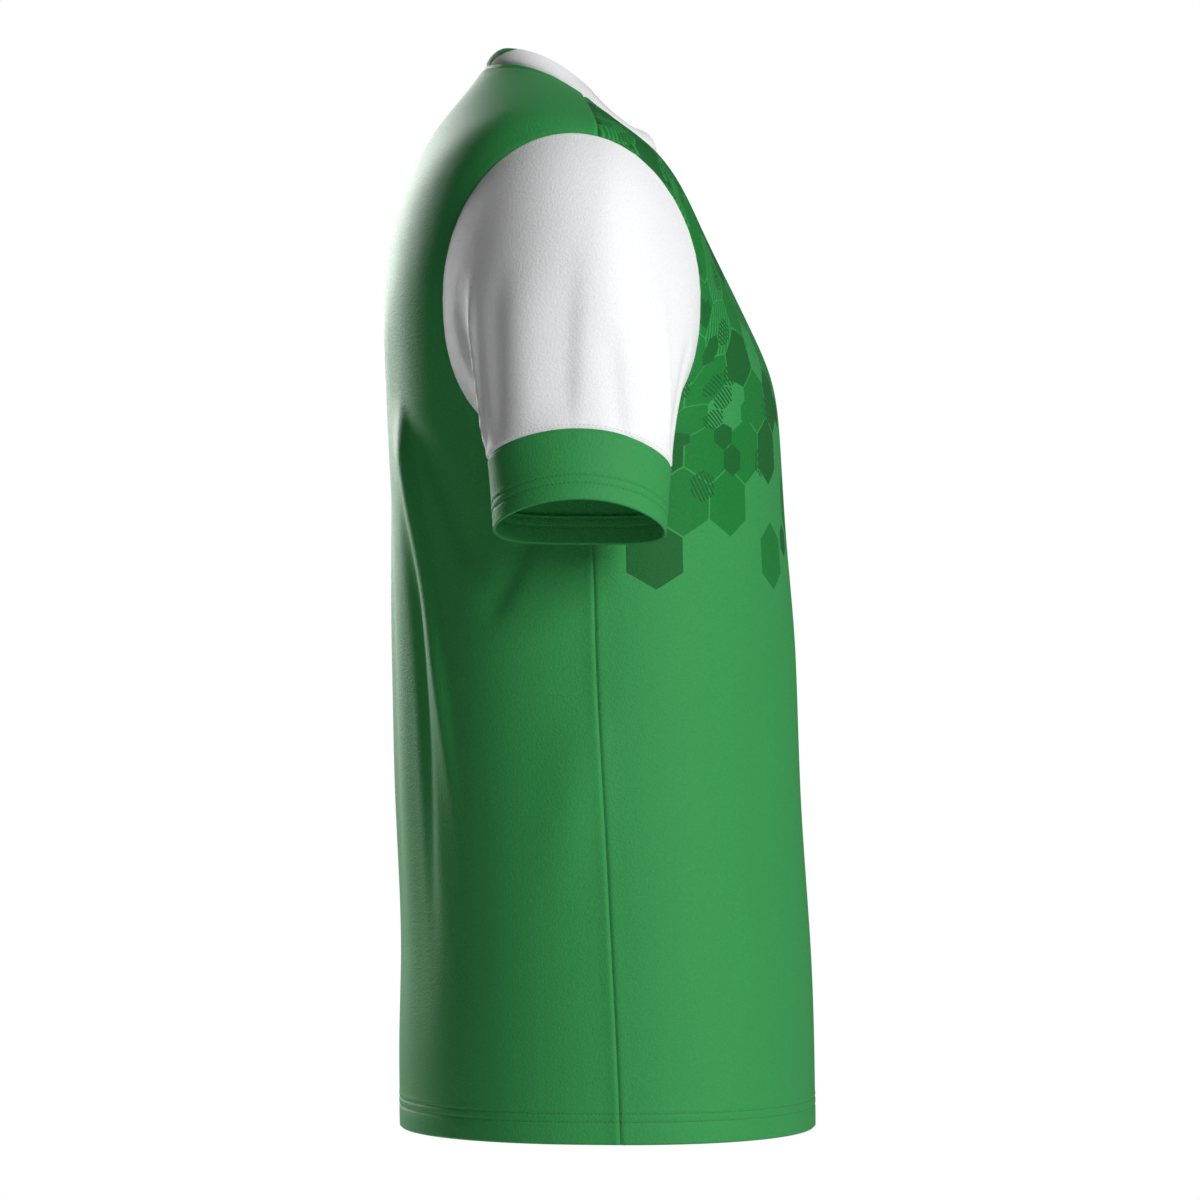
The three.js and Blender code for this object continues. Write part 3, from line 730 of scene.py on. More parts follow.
class Nodes:
    """A short way to place and join shader nodes in one tree."""

    def __init__(self, tree: Tree) -> None:
        """Keeps the tree that the nodes go into."""
        self.tree = tree

    def place(self, kind: str, **settings: object) -> Node:
        """Adds a node of a kind, with its settings."""
        node = self.tree.nodes.new(kind)
        for name, value in settings.items():
            setattr(node, name, value)
        return node

    def feed(self, socket: Socket, value: object) -> None:
        """Joins an output to an input, or sets the input's own value."""
        if isinstance(value, Socket):
            self.tree.links.new(value, socket)
        else:
            socket.default_value = value

    def math(self, operation: str, *values: object) -> Socket:
        """A Math node's result."""
        node = self.place("ShaderNodeMath", operation=operation)
        for k, value in enumerate(values):
            self.feed(node.inputs[k], value)
        return node.outputs[0]

    def vector(self, operation: str, *values: object) -> Socket:
        """A Vector Math node's result, a number for LENGTH."""
        node = self.place("ShaderNodeVectorMath", operation=operation)
        for k, value in enumerate(values):
            self.feed(node.inputs[k], value)
        return node.outputs["Value"] if operation == "LENGTH" else node.outputs[0]

    def blend(self, factor: object, first: object, second: object) -> Socket:
        """A mix of two colours or vectors."""
        node = self.place("ShaderNodeMix", data_type="RGBA")
        self.feed(node.inputs[0], factor)
        self.feed(node.inputs[6], first)
        self.feed(node.inputs[7], second)
        return node.outputs[2]

    def scale(self, value: object, low: float, high: float, to_low: float, to_high: float) -> Socket:
        """A number moved from one range to another, and kept inside it."""
        node = self.place("ShaderNodeMapRange")
        for k, number in enumerate((value, low, high, to_low, to_high)):
            self.feed(node.inputs[k], number)
        return node.outputs[0]

    def noise(self, vector: object, size: float, detail: float = 2.0) -> Socket:
        """Noise whose cells are about size across, in the vector's own unit."""
        node = self.place("ShaderNodeTexNoise")
        self.feed(node.inputs["Vector"], vector)
        node.inputs["Scale"].default_value = 1 / size
        node.inputs["Detail"].default_value = detail
        return node.outputs["Fac"]

    def split(self, vector: object) -> tuple[Socket, Socket]:
        """A vector's X and Y."""
        node = self.place("ShaderNodeSeparateXYZ")
        self.feed(node.inputs[0], vector)
        return node.outputs[0], node.outputs[1]

    def flat_place(self) -> Socket:
        """The place on the flat cloth, in metres."""
        return self.place("ShaderNodeUVMap", uv_map=UV_NAME).outputs[0]

    def group(self, tree: Tree, **values: object) -> Node:
        """Places a group with its own values."""
        node = self.place("ShaderNodeGroup", node_tree=tree)
        for name, value in values.items():
            self.feed(node.inputs[name.replace("_", " ")], value)
        return node


def new_group(
    name: str, inputs: dict[str, str], outputs: dict[str, str]
) -> tuple[Tree, Nodes, Node, Node]:
    """Starts a shader node group.

    Args:
        name: the group's name.
        inputs: the names and socket types of its inputs.
        outputs: the names and socket types of its outputs.

    Returns:
        The tree, a helper to fill it, and its input and output nodes.
    """
    tree = bpy.data.node_groups.new(name, "ShaderNodeTree")
    for way, sockets in (("INPUT", inputs), ("OUTPUT", outputs)):
        for label, kind in sockets.items():
            tree.interface.new_socket(name=label, in_out=way, socket_type=kind)
    nodes = Nodes(tree)
    return tree, nodes, nodes.place("NodeGroupInput"), nodes.place("NodeGroupOutput")


NUMBER = "NodeSocketFloat"
COLOUR = "NodeSocketColor"


def knit_relief() -> Tree:
    """A group that gives the height of jersey knit: columns of small V shapes."""
    inputs = {"Wale": NUMBER, "Course": NUMBER, "Fuzz": NUMBER}
    tree, nodes, given, made = new_group("knit_relief", inputs, {"Height": NUMBER})
    parts = nodes.place("ShaderNodeSeparateXYZ")
    nodes.feed(parts.inputs[0], nodes.flat_place())
    across = nodes.math("DIVIDE", parts.outputs[0], given.outputs["Wale"])
    up = nodes.math("DIVIDE", parts.outputs[1], given.outputs["Course"])
    ridge = nodes.math("ABSOLUTE", nodes.math("SINE", nodes.math("MULTIPLY", across, math.pi)))
    slant = nodes.math("MULTIPLY", nodes.math("PINGPONG", across, 0.5), 1.2)
    loops = nodes.math("SINE", nodes.math("MULTIPLY", nodes.math("ADD", up, slant), 2 * math.pi))
    body = nodes.math("MULTIPLY_ADD", loops, 0.3, 0.7)
    knit = nodes.math("MULTIPLY", ridge, body)
    place = nodes.place("ShaderNodeTexCoord").outputs["Object"]
    fuzz = nodes.noise(place, 0.0016, 1.0)
    nodes.feed(made.inputs["Height"], nodes.math("MULTIPLY_ADD", fuzz, given.outputs["Fuzz"], knit))
    return tree


def cloth_tint() -> Tree:
    """A group that varies a dyed colour: a fine grain of fibres and a slow drift."""
    inputs = {"Colour": COLOUR, "Grain": NUMBER, "Drift": NUMBER}
    tree, nodes, given, made = new_group("cloth_tint", inputs, {"Colour": COLOUR, "Roughness": NUMBER})
    place = nodes.place("ShaderNodeTexCoord").outputs["Object"]
    grain = nodes.noise(place, 0.0011, 3.0)
    drift = nodes.noise(place, 0.09, 2.0)
    centred = nodes.math("SUBTRACT", grain, 0.5)
    slow = nodes.math("SUBTRACT", drift, 0.5)
    amount = nodes.math("MULTIPLY_ADD", centred, given.outputs["Grain"], 1.0)
    amount = nodes.math("MULTIPLY_ADD", slow, given.outputs["Drift"], amount)
    joined = nodes.place("ShaderNodeCombineXYZ")
    for socket in joined.inputs:
        nodes.feed(socket, amount)
    nodes.feed(made.inputs["Colour"], nodes.vector("MULTIPLY", given.outputs["Colour"], joined.outputs[0]))
    nodes.feed(made.inputs["Roughness"], nodes.math("MULTIPLY_ADD", centred, 0.3, 0.55))
    return tree


@dataclass(frozen=True)
class PrintLayer:
    """One layer of hexagons: their size, how many are printed, and how."""

    width: float
    shift: tuple[float, float, float]
    cover_low: float
    cover_high: float
    dark: float
    hatched: float
    hatch_pitch: float
    hatch_slope: float


@dataclass(frozen=True)
class HoneycombPrint:
    """A tonal print of hexagons on the chest, some hatched, that thins out towards its low edge."""

    layers: tuple[PrintLayer, ...] = (
        PrintLayer(0.041, (0.0, 0.0, 0.0), 0.70, 0.97, 0.42, 0.40, 0.0052, 0.58),
        PrintLayer(0.0205, (0.0047, 0.0071, 0.0), 0.16, 0.34, 0.72, 0.60, 0.0032, -0.58),
    )
    joint: float = 0.0006
    thick_from: float = 0.60
    fade_from: float = 0.405
    fade_to: float = 0.375
    fade_overlap: float = 0.03
    hatch_share: float = 0.56

    def layer(self, nodes: Nodes, layer: PrintLayer) -> tuple[Socket, Socket]:
        """Adds one layer.

        Args:
            nodes: where the layer's nodes go.
            layer: its sizes and shares.

        Returns:
            Where it prints at all, and where what it prints is dark.
        """
        size = (layer.width, layer.width * math.sqrt(3), 1.0)
        place = nodes.vector("ADD", nodes.flat_place(), layer.shift)
        shares = nodes.vector("DIVIDE", place, size)
        first = nodes.vector("FLOOR", nodes.vector("ADD", shares, (0.5, 0.5, 0.0)))
        second = nodes.vector("ADD", nodes.vector("FLOOR", shares), (0.5, 0.5, 0.0))
        centres = [nodes.vector("MULTIPLY", cell, size) for cell in (first, second)]
        aways = [nodes.vector("SUBTRACT", place, centre) for centre in centres]
        nearer = nodes.math("LESS_THAN", *[nodes.vector("LENGTH", away) for away in aways])
        cell = nodes.blend(nearer, second, first)
        x, y = nodes.split(nodes.blend(nearer, aways[1], aways[0]))
        across = nodes.math("ABSOLUTE", x)
        slanted = nodes.math("MULTIPLY", nodes.math("ABSOLUTE", y), math.sqrt(3) / 2)
        slanted = nodes.math("MULTIPLY_ADD", across, 0.5, slanted)
        reach = nodes.math("MAXIMUM", across, slanted)
        inside = nodes.math("LESS_THAN", reach, layer.width / 2 - self.joint)
        chance = nodes.place("ShaderNodeTexWhiteNoise", noise_dimensions="3D")
        nodes.feed(chance.inputs["Vector"], cell)
        draws = nodes.place("ShaderNodeSeparateColor")
        nodes.feed(draws.inputs[0], chance.outputs["Color"])
        height = nodes.math("MULTIPLY", nodes.split(cell)[1], size[1])
        cover = nodes.scale(height, self.fade_from, self.thick_from, layer.cover_low, layer.cover_high)
        ending = nodes.scale(height, self.fade_to, self.fade_from + self.fade_overlap, 0.0, 1.0)
        printed = nodes.math("LESS_THAN", draws.outputs[0], nodes.math("MULTIPLY", cover, ending))
        printed = nodes.math("MULTIPLY", inside, printed)
        run = nodes.math("DIVIDE", nodes.math("MULTIPLY_ADD", y, layer.hatch_slope, x), layer.hatch_pitch)
        lines = nodes.math("LESS_THAN", nodes.math("FRACT", run), self.hatch_share)
        solid = nodes.math("GREATER_THAN", draws.outputs[2], layer.hatched)
        printed = nodes.math("MULTIPLY", printed, nodes.math("MAXIMUM", solid, lines))
        dark = nodes.math("LESS_THAN", draws.outputs[1], layer.dark)
        return printed, nodes.math("MULTIPLY", printed, dark)

    def group(self) -> Tree:
        """A group that gives where the middle tone and the dark tone are printed."""
        tree, nodes, _, made = new_group("honeycomb_print", {}, {"Middle": NUMBER, "Dark": NUMBER})
        outside = nodes.place("ShaderNodeAttribute", attribute_name=OUTSIDE).outputs["Fac"]
        printed: object = 0.0
        dark: object = 0.0
        for layer in self.layers:
            any_tone, dark_tone = self.layer(nodes, layer)
            printed = nodes.math("MAXIMUM", printed, any_tone)
            dark = nodes.math("MAXIMUM", dark, dark_tone)
        shown = nodes.math("GREATER_THAN", outside, 0.5)
        nodes.feed(made.inputs["Dark"], nodes.math("MULTIPLY", dark, shown))
        nodes.feed(made.inputs["Middle"], nodes.math("MULTIPLY", printed, shown))
        return tree


@dataclass(frozen=True)
class Groups:
    """The shader node groups that the finishes share."""

    knit: Tree
    tint: Tree
    print_: Tree


@dataclass(frozen=True)
class Knit:
    """Polyester jersey knit."""

    name: str
    colour: Colour
    groups: Groups
    wale: float = 0.00075
    course: float = 0.00065
    relief: float = 0.00006
    fuzz: float = 4.5
    grain: float = 0.35
    drift: float = 0.06
    sheen: float = 0.03
    sheen_roughness: float = 0.4
    specular: float = 0.12
    middle_tone: Colour | None = None
    dark_tone: Colour | None = None

    def material(self) -> bpy.types.Material:
        """Makes the material."""
        made, nodes, shader = new_material(self.name)
        colour: object = (*self.colour, 1.0)
        if self.middle_tone and self.dark_tone:
            printed = nodes.group(self.groups.print_)
            colour = nodes.blend(printed.outputs["Middle"], colour, (*self.middle_tone, 1.0))
            colour = nodes.blend(printed.outputs["Dark"], colour, (*self.dark_tone, 1.0))
        tinted = nodes.group(self.groups.tint, Colour=colour, Grain=self.grain, Drift=self.drift)
        nodes.feed(shader.inputs["Base Color"], tinted.outputs["Colour"])
        nodes.feed(shader.inputs["Roughness"], tinted.outputs["Roughness"])
        knit = nodes.group(self.groups.knit, Wale=self.wale, Course=self.course, Fuzz=self.fuzz)
        bump = nodes.place("ShaderNodeBump")
        bump.inputs["Strength"].default_value = 1.0
        bump.inputs["Distance"].default_value = self.relief
        nodes.feed(bump.inputs["Height"], knit.outputs["Height"])
        nodes.feed(shader.inputs["Normal"], bump.outputs[0])
        shader.inputs["Sheen Weight"].default_value = self.sheen
        shader.inputs["Sheen Roughness"].default_value = self.sheen_roughness
        shader.inputs["Specular IOR Level"].default_value = self.specular
        return made


@dataclass(frozen=True)
class Thread:
    """Sewing thread, twisted."""

    name: str
    colour: Colour
    twist: float = 0.0007
    relief: float = 0.0001
    shade: float = 0.7

    def material(self) -> bpy.types.Material:
        """Makes the material, or gives the one made before."""
        if self.name in bpy.data.materials:
            return bpy.data.materials[self.name]
        made, nodes, shader = new_material(self.name)
        place = nodes.place("ShaderNodeTexCoord").outputs["Object"]
        fibre = nodes.noise(place, self.twist, 3.0)
        darker = tuple(self.shade * value for value in self.colour)
        nodes.feed(shader.inputs["Base Color"], nodes.blend(fibre, (*darker, 1.0), (*self.colour, 1.0)))
        bump = nodes.place("ShaderNodeBump")
        bump.inputs["Distance"].default_value = self.relief
        nodes.feed(bump.inputs["Height"], fibre)
        nodes.feed(shader.inputs["Normal"], bump.outputs[0])
        shader.inputs["Roughness"].default_value = 0.55
        return made


@dataclass
class Panel:
    """The front or the back of the body."""

    form: BodyForm
    is_front: bool
    seams: list[Seam]
    name: str
    columns: int = 70
    body_step: float = 3.7
    rows_beside_armhole: int = 90
    even_share: float = 0.3
    most_bend: float = 8.0
    neck_groove_width: float = 1.2
    neck_groove: float = 0.9
    neck_swell: float = 0.35
    shoulder_step: float = 3.4

    LENGTH_SAMPLES = 65
    SHOULDER_POWER = 1.3  # over 1, the rows over the shoulder are closer near the armhole
    START_SPEED = 0.6

    def rows(self) -> Array:
        """The rows' places along the body, up to a little below the neck seam."""
        hem = BODY_HEM.steps()
        under = self.form.underarm
        body = np.linspace(hem[-1], under, int((under - hem[-1]) / self.body_step), endpoint=False)[1:]
        even = np.linspace(0, 1, self.rows_beside_armhole + 1)
        share = self.even_share * even + (1 - self.even_share) * (1 - np.cos(np.pi * even)) / 2
        beside = under + (self.form.shoulder - under) * share
        top = NECK - 2 * SEAM_STEPS[-1]
        count = int((top - self.form.shoulder) / self.shoulder_step)
        share = (np.arange(1, count + 1) / count) ** self.SHOULDER_POWER
        over = self.form.shoulder + (top - self.form.shoulder) * share
        return np.concatenate([hem, body, beside, over])

    def turns(self, along: Array) -> Array:
        """The turns of a row's columns at each row, over the whole panel."""
        start = 0.0 if self.is_front else 2.0
        edge = np.abs(self.form.edge(along, self.is_front) - start)
        shares = np.linspace(0, 1, self.LENGTH_SAMPLES)
        length = lengths_along(self.form.plain(along[:, None], start + (1 - start) * shares), 1)
        total = np.array([np.interp(e, shares, run) for e, run in zip(edge, length)])[:, None]
        near = SEAM_STEPS[::-1][None]
        whole, cut = length[:, -1:] - near[:, :1], total - near[:, :1]
        power = self.START_SPEED * whole / np.maximum(whole - cut, 1e-6)
        power = np.clip(power, 1.0, self.most_bend)
        share = np.linspace(0, 1, self.columns)[None]
        main = whole * share - (whole - cut) * share**power
        wanted = np.concatenate([main, total - near[:, 1:]], axis=1)
        found = np.stack([np.interp(w, run, shares) for w, run in zip(wanted, length)])
        right = start + (1 - start) * found
        left = -right[:, :0:-1] if self.is_front else 4 - right[:, :0:-1]
        return np.concatenate([left, right], axis=1)

    def shell(self) -> Shell:
        """The panel's wall."""
        along = self.rows()
        turns = self.turns(along)
        places = np.repeat(along[:, None], turns.shape[1], axis=1)
        last = turns[-1]
        near = self.form.plain(np.full_like(last, NECK - 1), last)
        speed = np.linalg.norm(self.form.plain(np.full_like(last, NECK), last) - near, axis=-1)
        neck_rows = NECK - SEAM_STEPS[::-1][:, None] / speed[None]
        places = np.concatenate([places, neck_rows])
        turns = np.concatenate([turns, np.repeat(last[None], len(SEAM_STEPS), axis=0)])
        points = self.form.surface(places, turns)
        normals = self.form.normals(places, turns)
        for seam in self.seams:
            points, normals = seam.sink(points, normals)
        outer, inner = BODY_HEM.walls(places)
        to_neck = (NECK - places) * speed[None]
        outer = outer - self.neck_groove * bell(to_neck - NECK_STITCH, self.neck_groove_width)
        outer = outer + self.neck_swell * bell(to_neck - NECK_STITCH / 2, self.neck_groove_width)
        return Shell(self.name, points, normals, outer, inner, uv_centre=True)


@dataclass(frozen=True)
class Leaving:
    """How the sleeve leaves the armhole at one place, and how far it keeps its directions."""

    out: float
    back: float
    down: float
    start: float
    end: float


@dataclass(frozen=True)
class CuffRing:
    """One end of the cuff band."""

    x: float
    y: float
    z: float
    half_width: float
    half_depth: float
    drop_back: float
    drop_front: float

    TILT = math.radians(16.5)

    def points(self, turn: Array) -> Array:
        """Points of the ring on the right sleeve."""
        c, s = np.cos(2 * np.pi * turn), np.sin(2 * np.pi * turn)
        drop = np.where(s > 0, self.drop_back, self.drop_front) * s * s
        out = self.half_width * c
        x = -self.x - out * math.cos(self.TILT) - drop * math.sin(self.TILT)
        y = self.y + self.half_depth * s
        z = self.z + out * math.sin(self.TILT) - drop * math.cos(self.TILT)
        return np.stack([x, y, z], axis=-1)


CUFF_SEAM = CuffRing(245.5, 1.8, -243, 45.5, 59.5, 7, 12)
CUFF_EDGE = CuffRing(252.5, 1.7, -290, 50, 55.7, 6, 8)


@dataclass(frozen=True)
class SleeveFold:
    """A ridge or trough that runs down the sleeve."""

    round_: float
    low_round: float
    start: float
    end: float
    height: float
    width: float
    lean: float = 0.0
    fade: tuple[float, float] = (0.35, 0.2)

    GIRTH = 400.0

    def heights(self, down: Array, turn: Array) -> Array:
        """How far the fold moves the cloth out."""
        share = (down - self.start) / (self.end - self.start)
        inside = (share > 0) & (share < 1)
        middle = self.round_ + (self.low_round - self.round_) * share
        away = (np.mod(turn - middle + 0.5, 1.0) - 0.5) * self.GIRTH / self.width
        away = away / (1 + self.lean * np.tanh(away))
        shape = ease(share / self.fade[0]) * ease((1 - share) / self.fade[1])
        return np.where(inside, self.height * shape * np.exp(-away * away), 0.0)


SLEEVE_FOLDS = [
    SleeveFold(0.168, 0.252, 0.32, 1.02, 3.4, 4.2, 0.2),
    SleeveFold(0.212, 0.300, 0.24, 1.02, -3.6, 12),
    SleeveFold(0.126, 0.170, 0.40, 1.02, -1.8, 8.5, 0.1),
    SleeveFold(0.030, 0.026, 0.36, 1.04, -2.1, 12, 0.55, (0.5, 0.25)),
    SleeveFold(0.092, 0.100, 0.46, 1.02, 0.9, 12),
    SleeveFold(0.895, 0.785, 0.42, 0.98, 1.1, 5.0),
    SleeveFold(-0.040, -0.078, 0.66, 1.04, -1.5, 8.0, 0.3),
    SleeveFold(0.760, 0.775, 0.35, 1.0, -2.0, 10.0),
    SleeveFold(0.420, 0.380, 0.20, 1.0, -1.6, 12.0),
    SleeveFold(0.590, 0.640, 0.20, 1.0, -1.4, 11.0),
]


@dataclass
class SleeveForm:
    """The middle surface of one sleeve, worked out as a right sleeve and mirrored for the left."""

    body: BodyForm
    is_left: bool = False
    top: Leaving = Leaving(0.86, 0.0, 0.5, 88, 80)
    back: Leaving = Leaving(0.86, -0.1, 0.5, 34, 62)
    bottom: Leaving = Leaving(0.97, 0.0, 0.24, 7, 8)
    front: Leaving = Leaving(0.86, 0.06, 0.5, 34, 62)

    TABLE_TURNS = np.linspace(0, 1, 4001)

    def __post_init__(self) -> None:
        """Works out the armhole once, and gives the left sleeve folds of its own."""
        along, round_ = self.body.armhole(self.TABLE_TURNS)
        points = self.body.surface(along, -round_ if self.is_left else round_)
        self.table = points * MIRROR if self.is_left else points
        moved, shorter, lower = (0.012, 0.97, 0.9) if self.is_left else (0.0, 1.0, 1.0)
        self.folds = [
            replace(fold, round_=fold.round_ + moved, end=fold.end * shorter, height=fold.height * lower)
            for fold in SLEEVE_FOLDS
        ]

    def around(self, turn: Array, name: str) -> Array:
        """A value that changes smoothly from the sleeve's top to its back, bottom and front."""
        c, s = np.cos(2 * np.pi * turn), np.sin(2 * np.pi * turn)
        upright = np.where(c > 0, getattr(self.top, name), getattr(self.bottom, name))
        level = np.where(s > 0, getattr(self.back, name), getattr(self.front, name))
        return upright * c * c + level * s * s

    def armhole_points(self, turn: Array) -> Array:
        """Points of the armhole's edge, mirrored to the right for the left sleeve."""
        wrapped = np.mod(turn, 1.0)
        found = [np.interp(wrapped, self.TABLE_TURNS, self.table[:, k]) for k in range(3)]
        return np.stack(found, axis=-1)

    def plain(self, down: Array, turn: Array) -> Array:
        """Points of the form with no folds, from the armhole, 0, to the cuff's seam, 1."""
        down = np.broadcast_to(down, np.broadcast_shapes(np.shape(down), np.shape(turn)))
        start = self.armhole_points(turn)
        end = CUFF_SEAM.points(turn)
        around = lambda name: self.around(turn, name)
        leave = unit(np.stack([-around("out"), around("back"), -around("down")], axis=-1))
        arrive = unit(CUFF_EDGE.points(turn) - end)
        first = start + leave * around("start")[..., None]
        last = end - arrive * around("end")[..., None]
        u, v = (1 - down)[..., None], down[..., None]
        return u**3 * start + 3 * u * u * v * first + 3 * u * v * v * last + v**3 * end

    def normals_of(self, form: Callable[[Array, Array], Array], down: Array, turn: Array) -> Array:
        """The outward directions of a form."""
        start = np.maximum(down - STEP, 0.0)
        along = form(start + STEP, turn) - form(start, turn)
        across = form(down, turn + STEP) - form(down, turn - STEP)
        return unit(np.cross(across, along))

    def surface(self, down: Array, turn: Array) -> Array:
        """Points of the form with its folds."""
        heights = sum(fold.heights(down, np.mod(turn, 1.0)) for fold in self.folds)
        return self.plain(down, turn) + self.normals_of(self.plain, down, turn) * heights[..., None]


@dataclass
class Sleeve:
    """One set-in sleeve with its cuff band."""

    form: SleeveForm
    armhole_seam: Seam
    cuff_seam: Seam
    under_seam: Seam
    side: str
    columns: int = 132
    step: float = 3.2

    LENGTH_SAMPLES = 41
    SHORT = 60.0  # below this length the rows beside the seams draw together

    @property
    def turns(self) -> Array:
        """The turns of the columns, from the underarm seam round to it again."""
        return 0.5 + np.arange(self.columns) / self.columns

    def placed(self, points: Array) -> Array:
        """The points, or their mirror image for the left sleeve."""
        return points * MIRROR if self.form.is_left else points

    def sewn(self, points: Array, normals: Array, seams: Sequence[Seam]) -> tuple[Array, Array]:
        """A grid of the right-hand form, moved to its own side and dipped into its seams."""
        points, normals = self.placed(points), self.placed(normals)
        for seam in seams:
            points, normals = seam.sink(points, normals)
        return points, normals

    def sleeve_shell(self) -> Shell:
        """The sleeve's wall."""
        fine = np.linspace(0, 1, self.LENGTH_SAMPLES)
        sampled = self.form.plain(fine[:, None], self.turns[None])
        length = lengths_along(sampled, 0)
        total = length[-1]
        scale = np.minimum(1.0, total / self.SHORT)
        near = SEAM_STEPS[:, None] * scale / total
        rows = int(total.max() / self.step)
        main = near[-1] + (1 - 2 * near[-1]) * np.linspace(0, 1, rows + 1)[1:-1, None]
        shares = np.concatenate([near, main, 1 - near[::-1]])
        columns = zip((shares * total).T, length.T)
        down = np.stack([np.interp(wanted, run, fine) for wanted, run in columns], axis=1)
        turn = np.broadcast_to(self.turns, down.shape)
        points = self.form.surface(down, turn)
        normals = self.form.normals_of(self.form.surface, down, turn)
        seams = (self.armhole_seam, self.cuff_seam, self.under_seam)
        points, normals = self.sewn(points, normals, seams)
        return Shell(f"sleeve_{self.side}_cloth", points, normals, closed=True)

    def cuff_shell(self) -> Shell:
        """The cuff band's wall, from its hem up to its seam."""
        seam, edge = CUFF_SEAM.points(self.turns), CUFF_EDGE.points(self.turns)
        length = np.linalg.norm(seam - edge, axis=-1)
        hem = CUFF_HEM.steps()
        top = np.min(length) - SEAM_STEPS[-1]
        plain = np.linspace(hem[-1], top, int((top - hem[-1]) / self.step))[1:-1]
        low = np.concatenate([hem, plain])[:, None] * np.ones_like(length)
        away = np.concatenate([low, length - SEAM_STEPS[::-1, None]])
        share = (away / length)[..., None]
        points = edge + (seam - edge) * share
        across = np.roll(points, -1, axis=1) - np.roll(points, 1, axis=1)
        normals = unit(np.cross(across, edge - seam))
        points, normals = self.sewn(points, normals, (self.cuff_seam, self.under_seam))
        outer, inner = CUFF_HEM.walls(away)
        return Shell(f"cuff_{self.side}_cloth", points, normals, outer, inner, closed=True)


@dataclass
class CollarForm:
    """The middle surface of the collar, which stands on the neck seam and leans in."""

    body: BodyForm
    height: float = 15.5
    bulge: float = 1.6
    lean_front: float = 27.0
    lean_side: float = 60.0
    lean_back: float = 42.0
    insert_at_seam: float = 24.0
    insert_at_edge: float = 40.0
    join_bow: float = 0.26

    def __post_init__(self) -> None:
        """Works out the slanted join once."""
        self.join_ups = np.linspace(0, 1, 41)
        share = self.join_ups + self.join_bow * np.sin(np.pi * self.join_ups)
        half = self.insert_at_seam + (self.insert_at_edge - self.insert_at_seam) * share
        test = lambda turned: np.abs(self.surface(self.join_ups, turned)[..., 0]) - half
        start = np.ones_like(half)
        self.join_turns = crossing(test, start, 2 * start)

    def surface(self, up: Array, turned: Array) -> Array:
        """Points of the form, from the neck seam, 0, to the free edge, 1."""
        up, turned = np.broadcast_arrays(np.asarray(up, float), np.asarray(turned, float))
        share = np.abs(np.cos(np.abs(turned) * np.pi / 2))
        end = np.where(np.abs(turned) < 1, self.lean_front, self.lean_back)
        lean = np.radians(self.lean_side + (end - self.lean_side) * share * share)[..., None]
        neck = np.full_like(turned, NECK)
        seam = self.body.surface(neck, turned)
        tangent = unit(self.body.surface(neck, turned + STEP) - self.body.surface(neck, turned - STEP))
        inward = unit(np.cross(np.array([0.0, 0.0, 1.0]), tangent))
        inward = np.where(dot(inward, seam)[..., None] > 0, -inward, inward)
        upright = unit(np.cross(tangent, inward))
        upright = np.where(upright[..., 2:] < 0, -upright, upright)
        arch = (self.bulge * np.sin(np.pi * up))[..., None]
        run = (self.height * up)[..., None]
        seam = seam + inward * (run * np.sin(lean) - arch * np.cos(lean))
        return seam + upright * (run * np.cos(lean) + arch * np.sin(lean))

    def normals(self, up: Array, turned: Array) -> Array:
        """The outward directions of the form."""
        start = np.maximum(up - STEP, 0.0)
        rise = self.surface(start + STEP, turned) - self.surface(start, turned)
        across = self.surface(up, turned + STEP) - self.surface(up, turned - STEP)
        return unit(np.cross(rise, across))

    def join(self, up: Array) -> Array:
        """The turn of the slanted join between the band and the insert, on the right."""
        return np.interp(up, self.join_ups, self.join_turns)


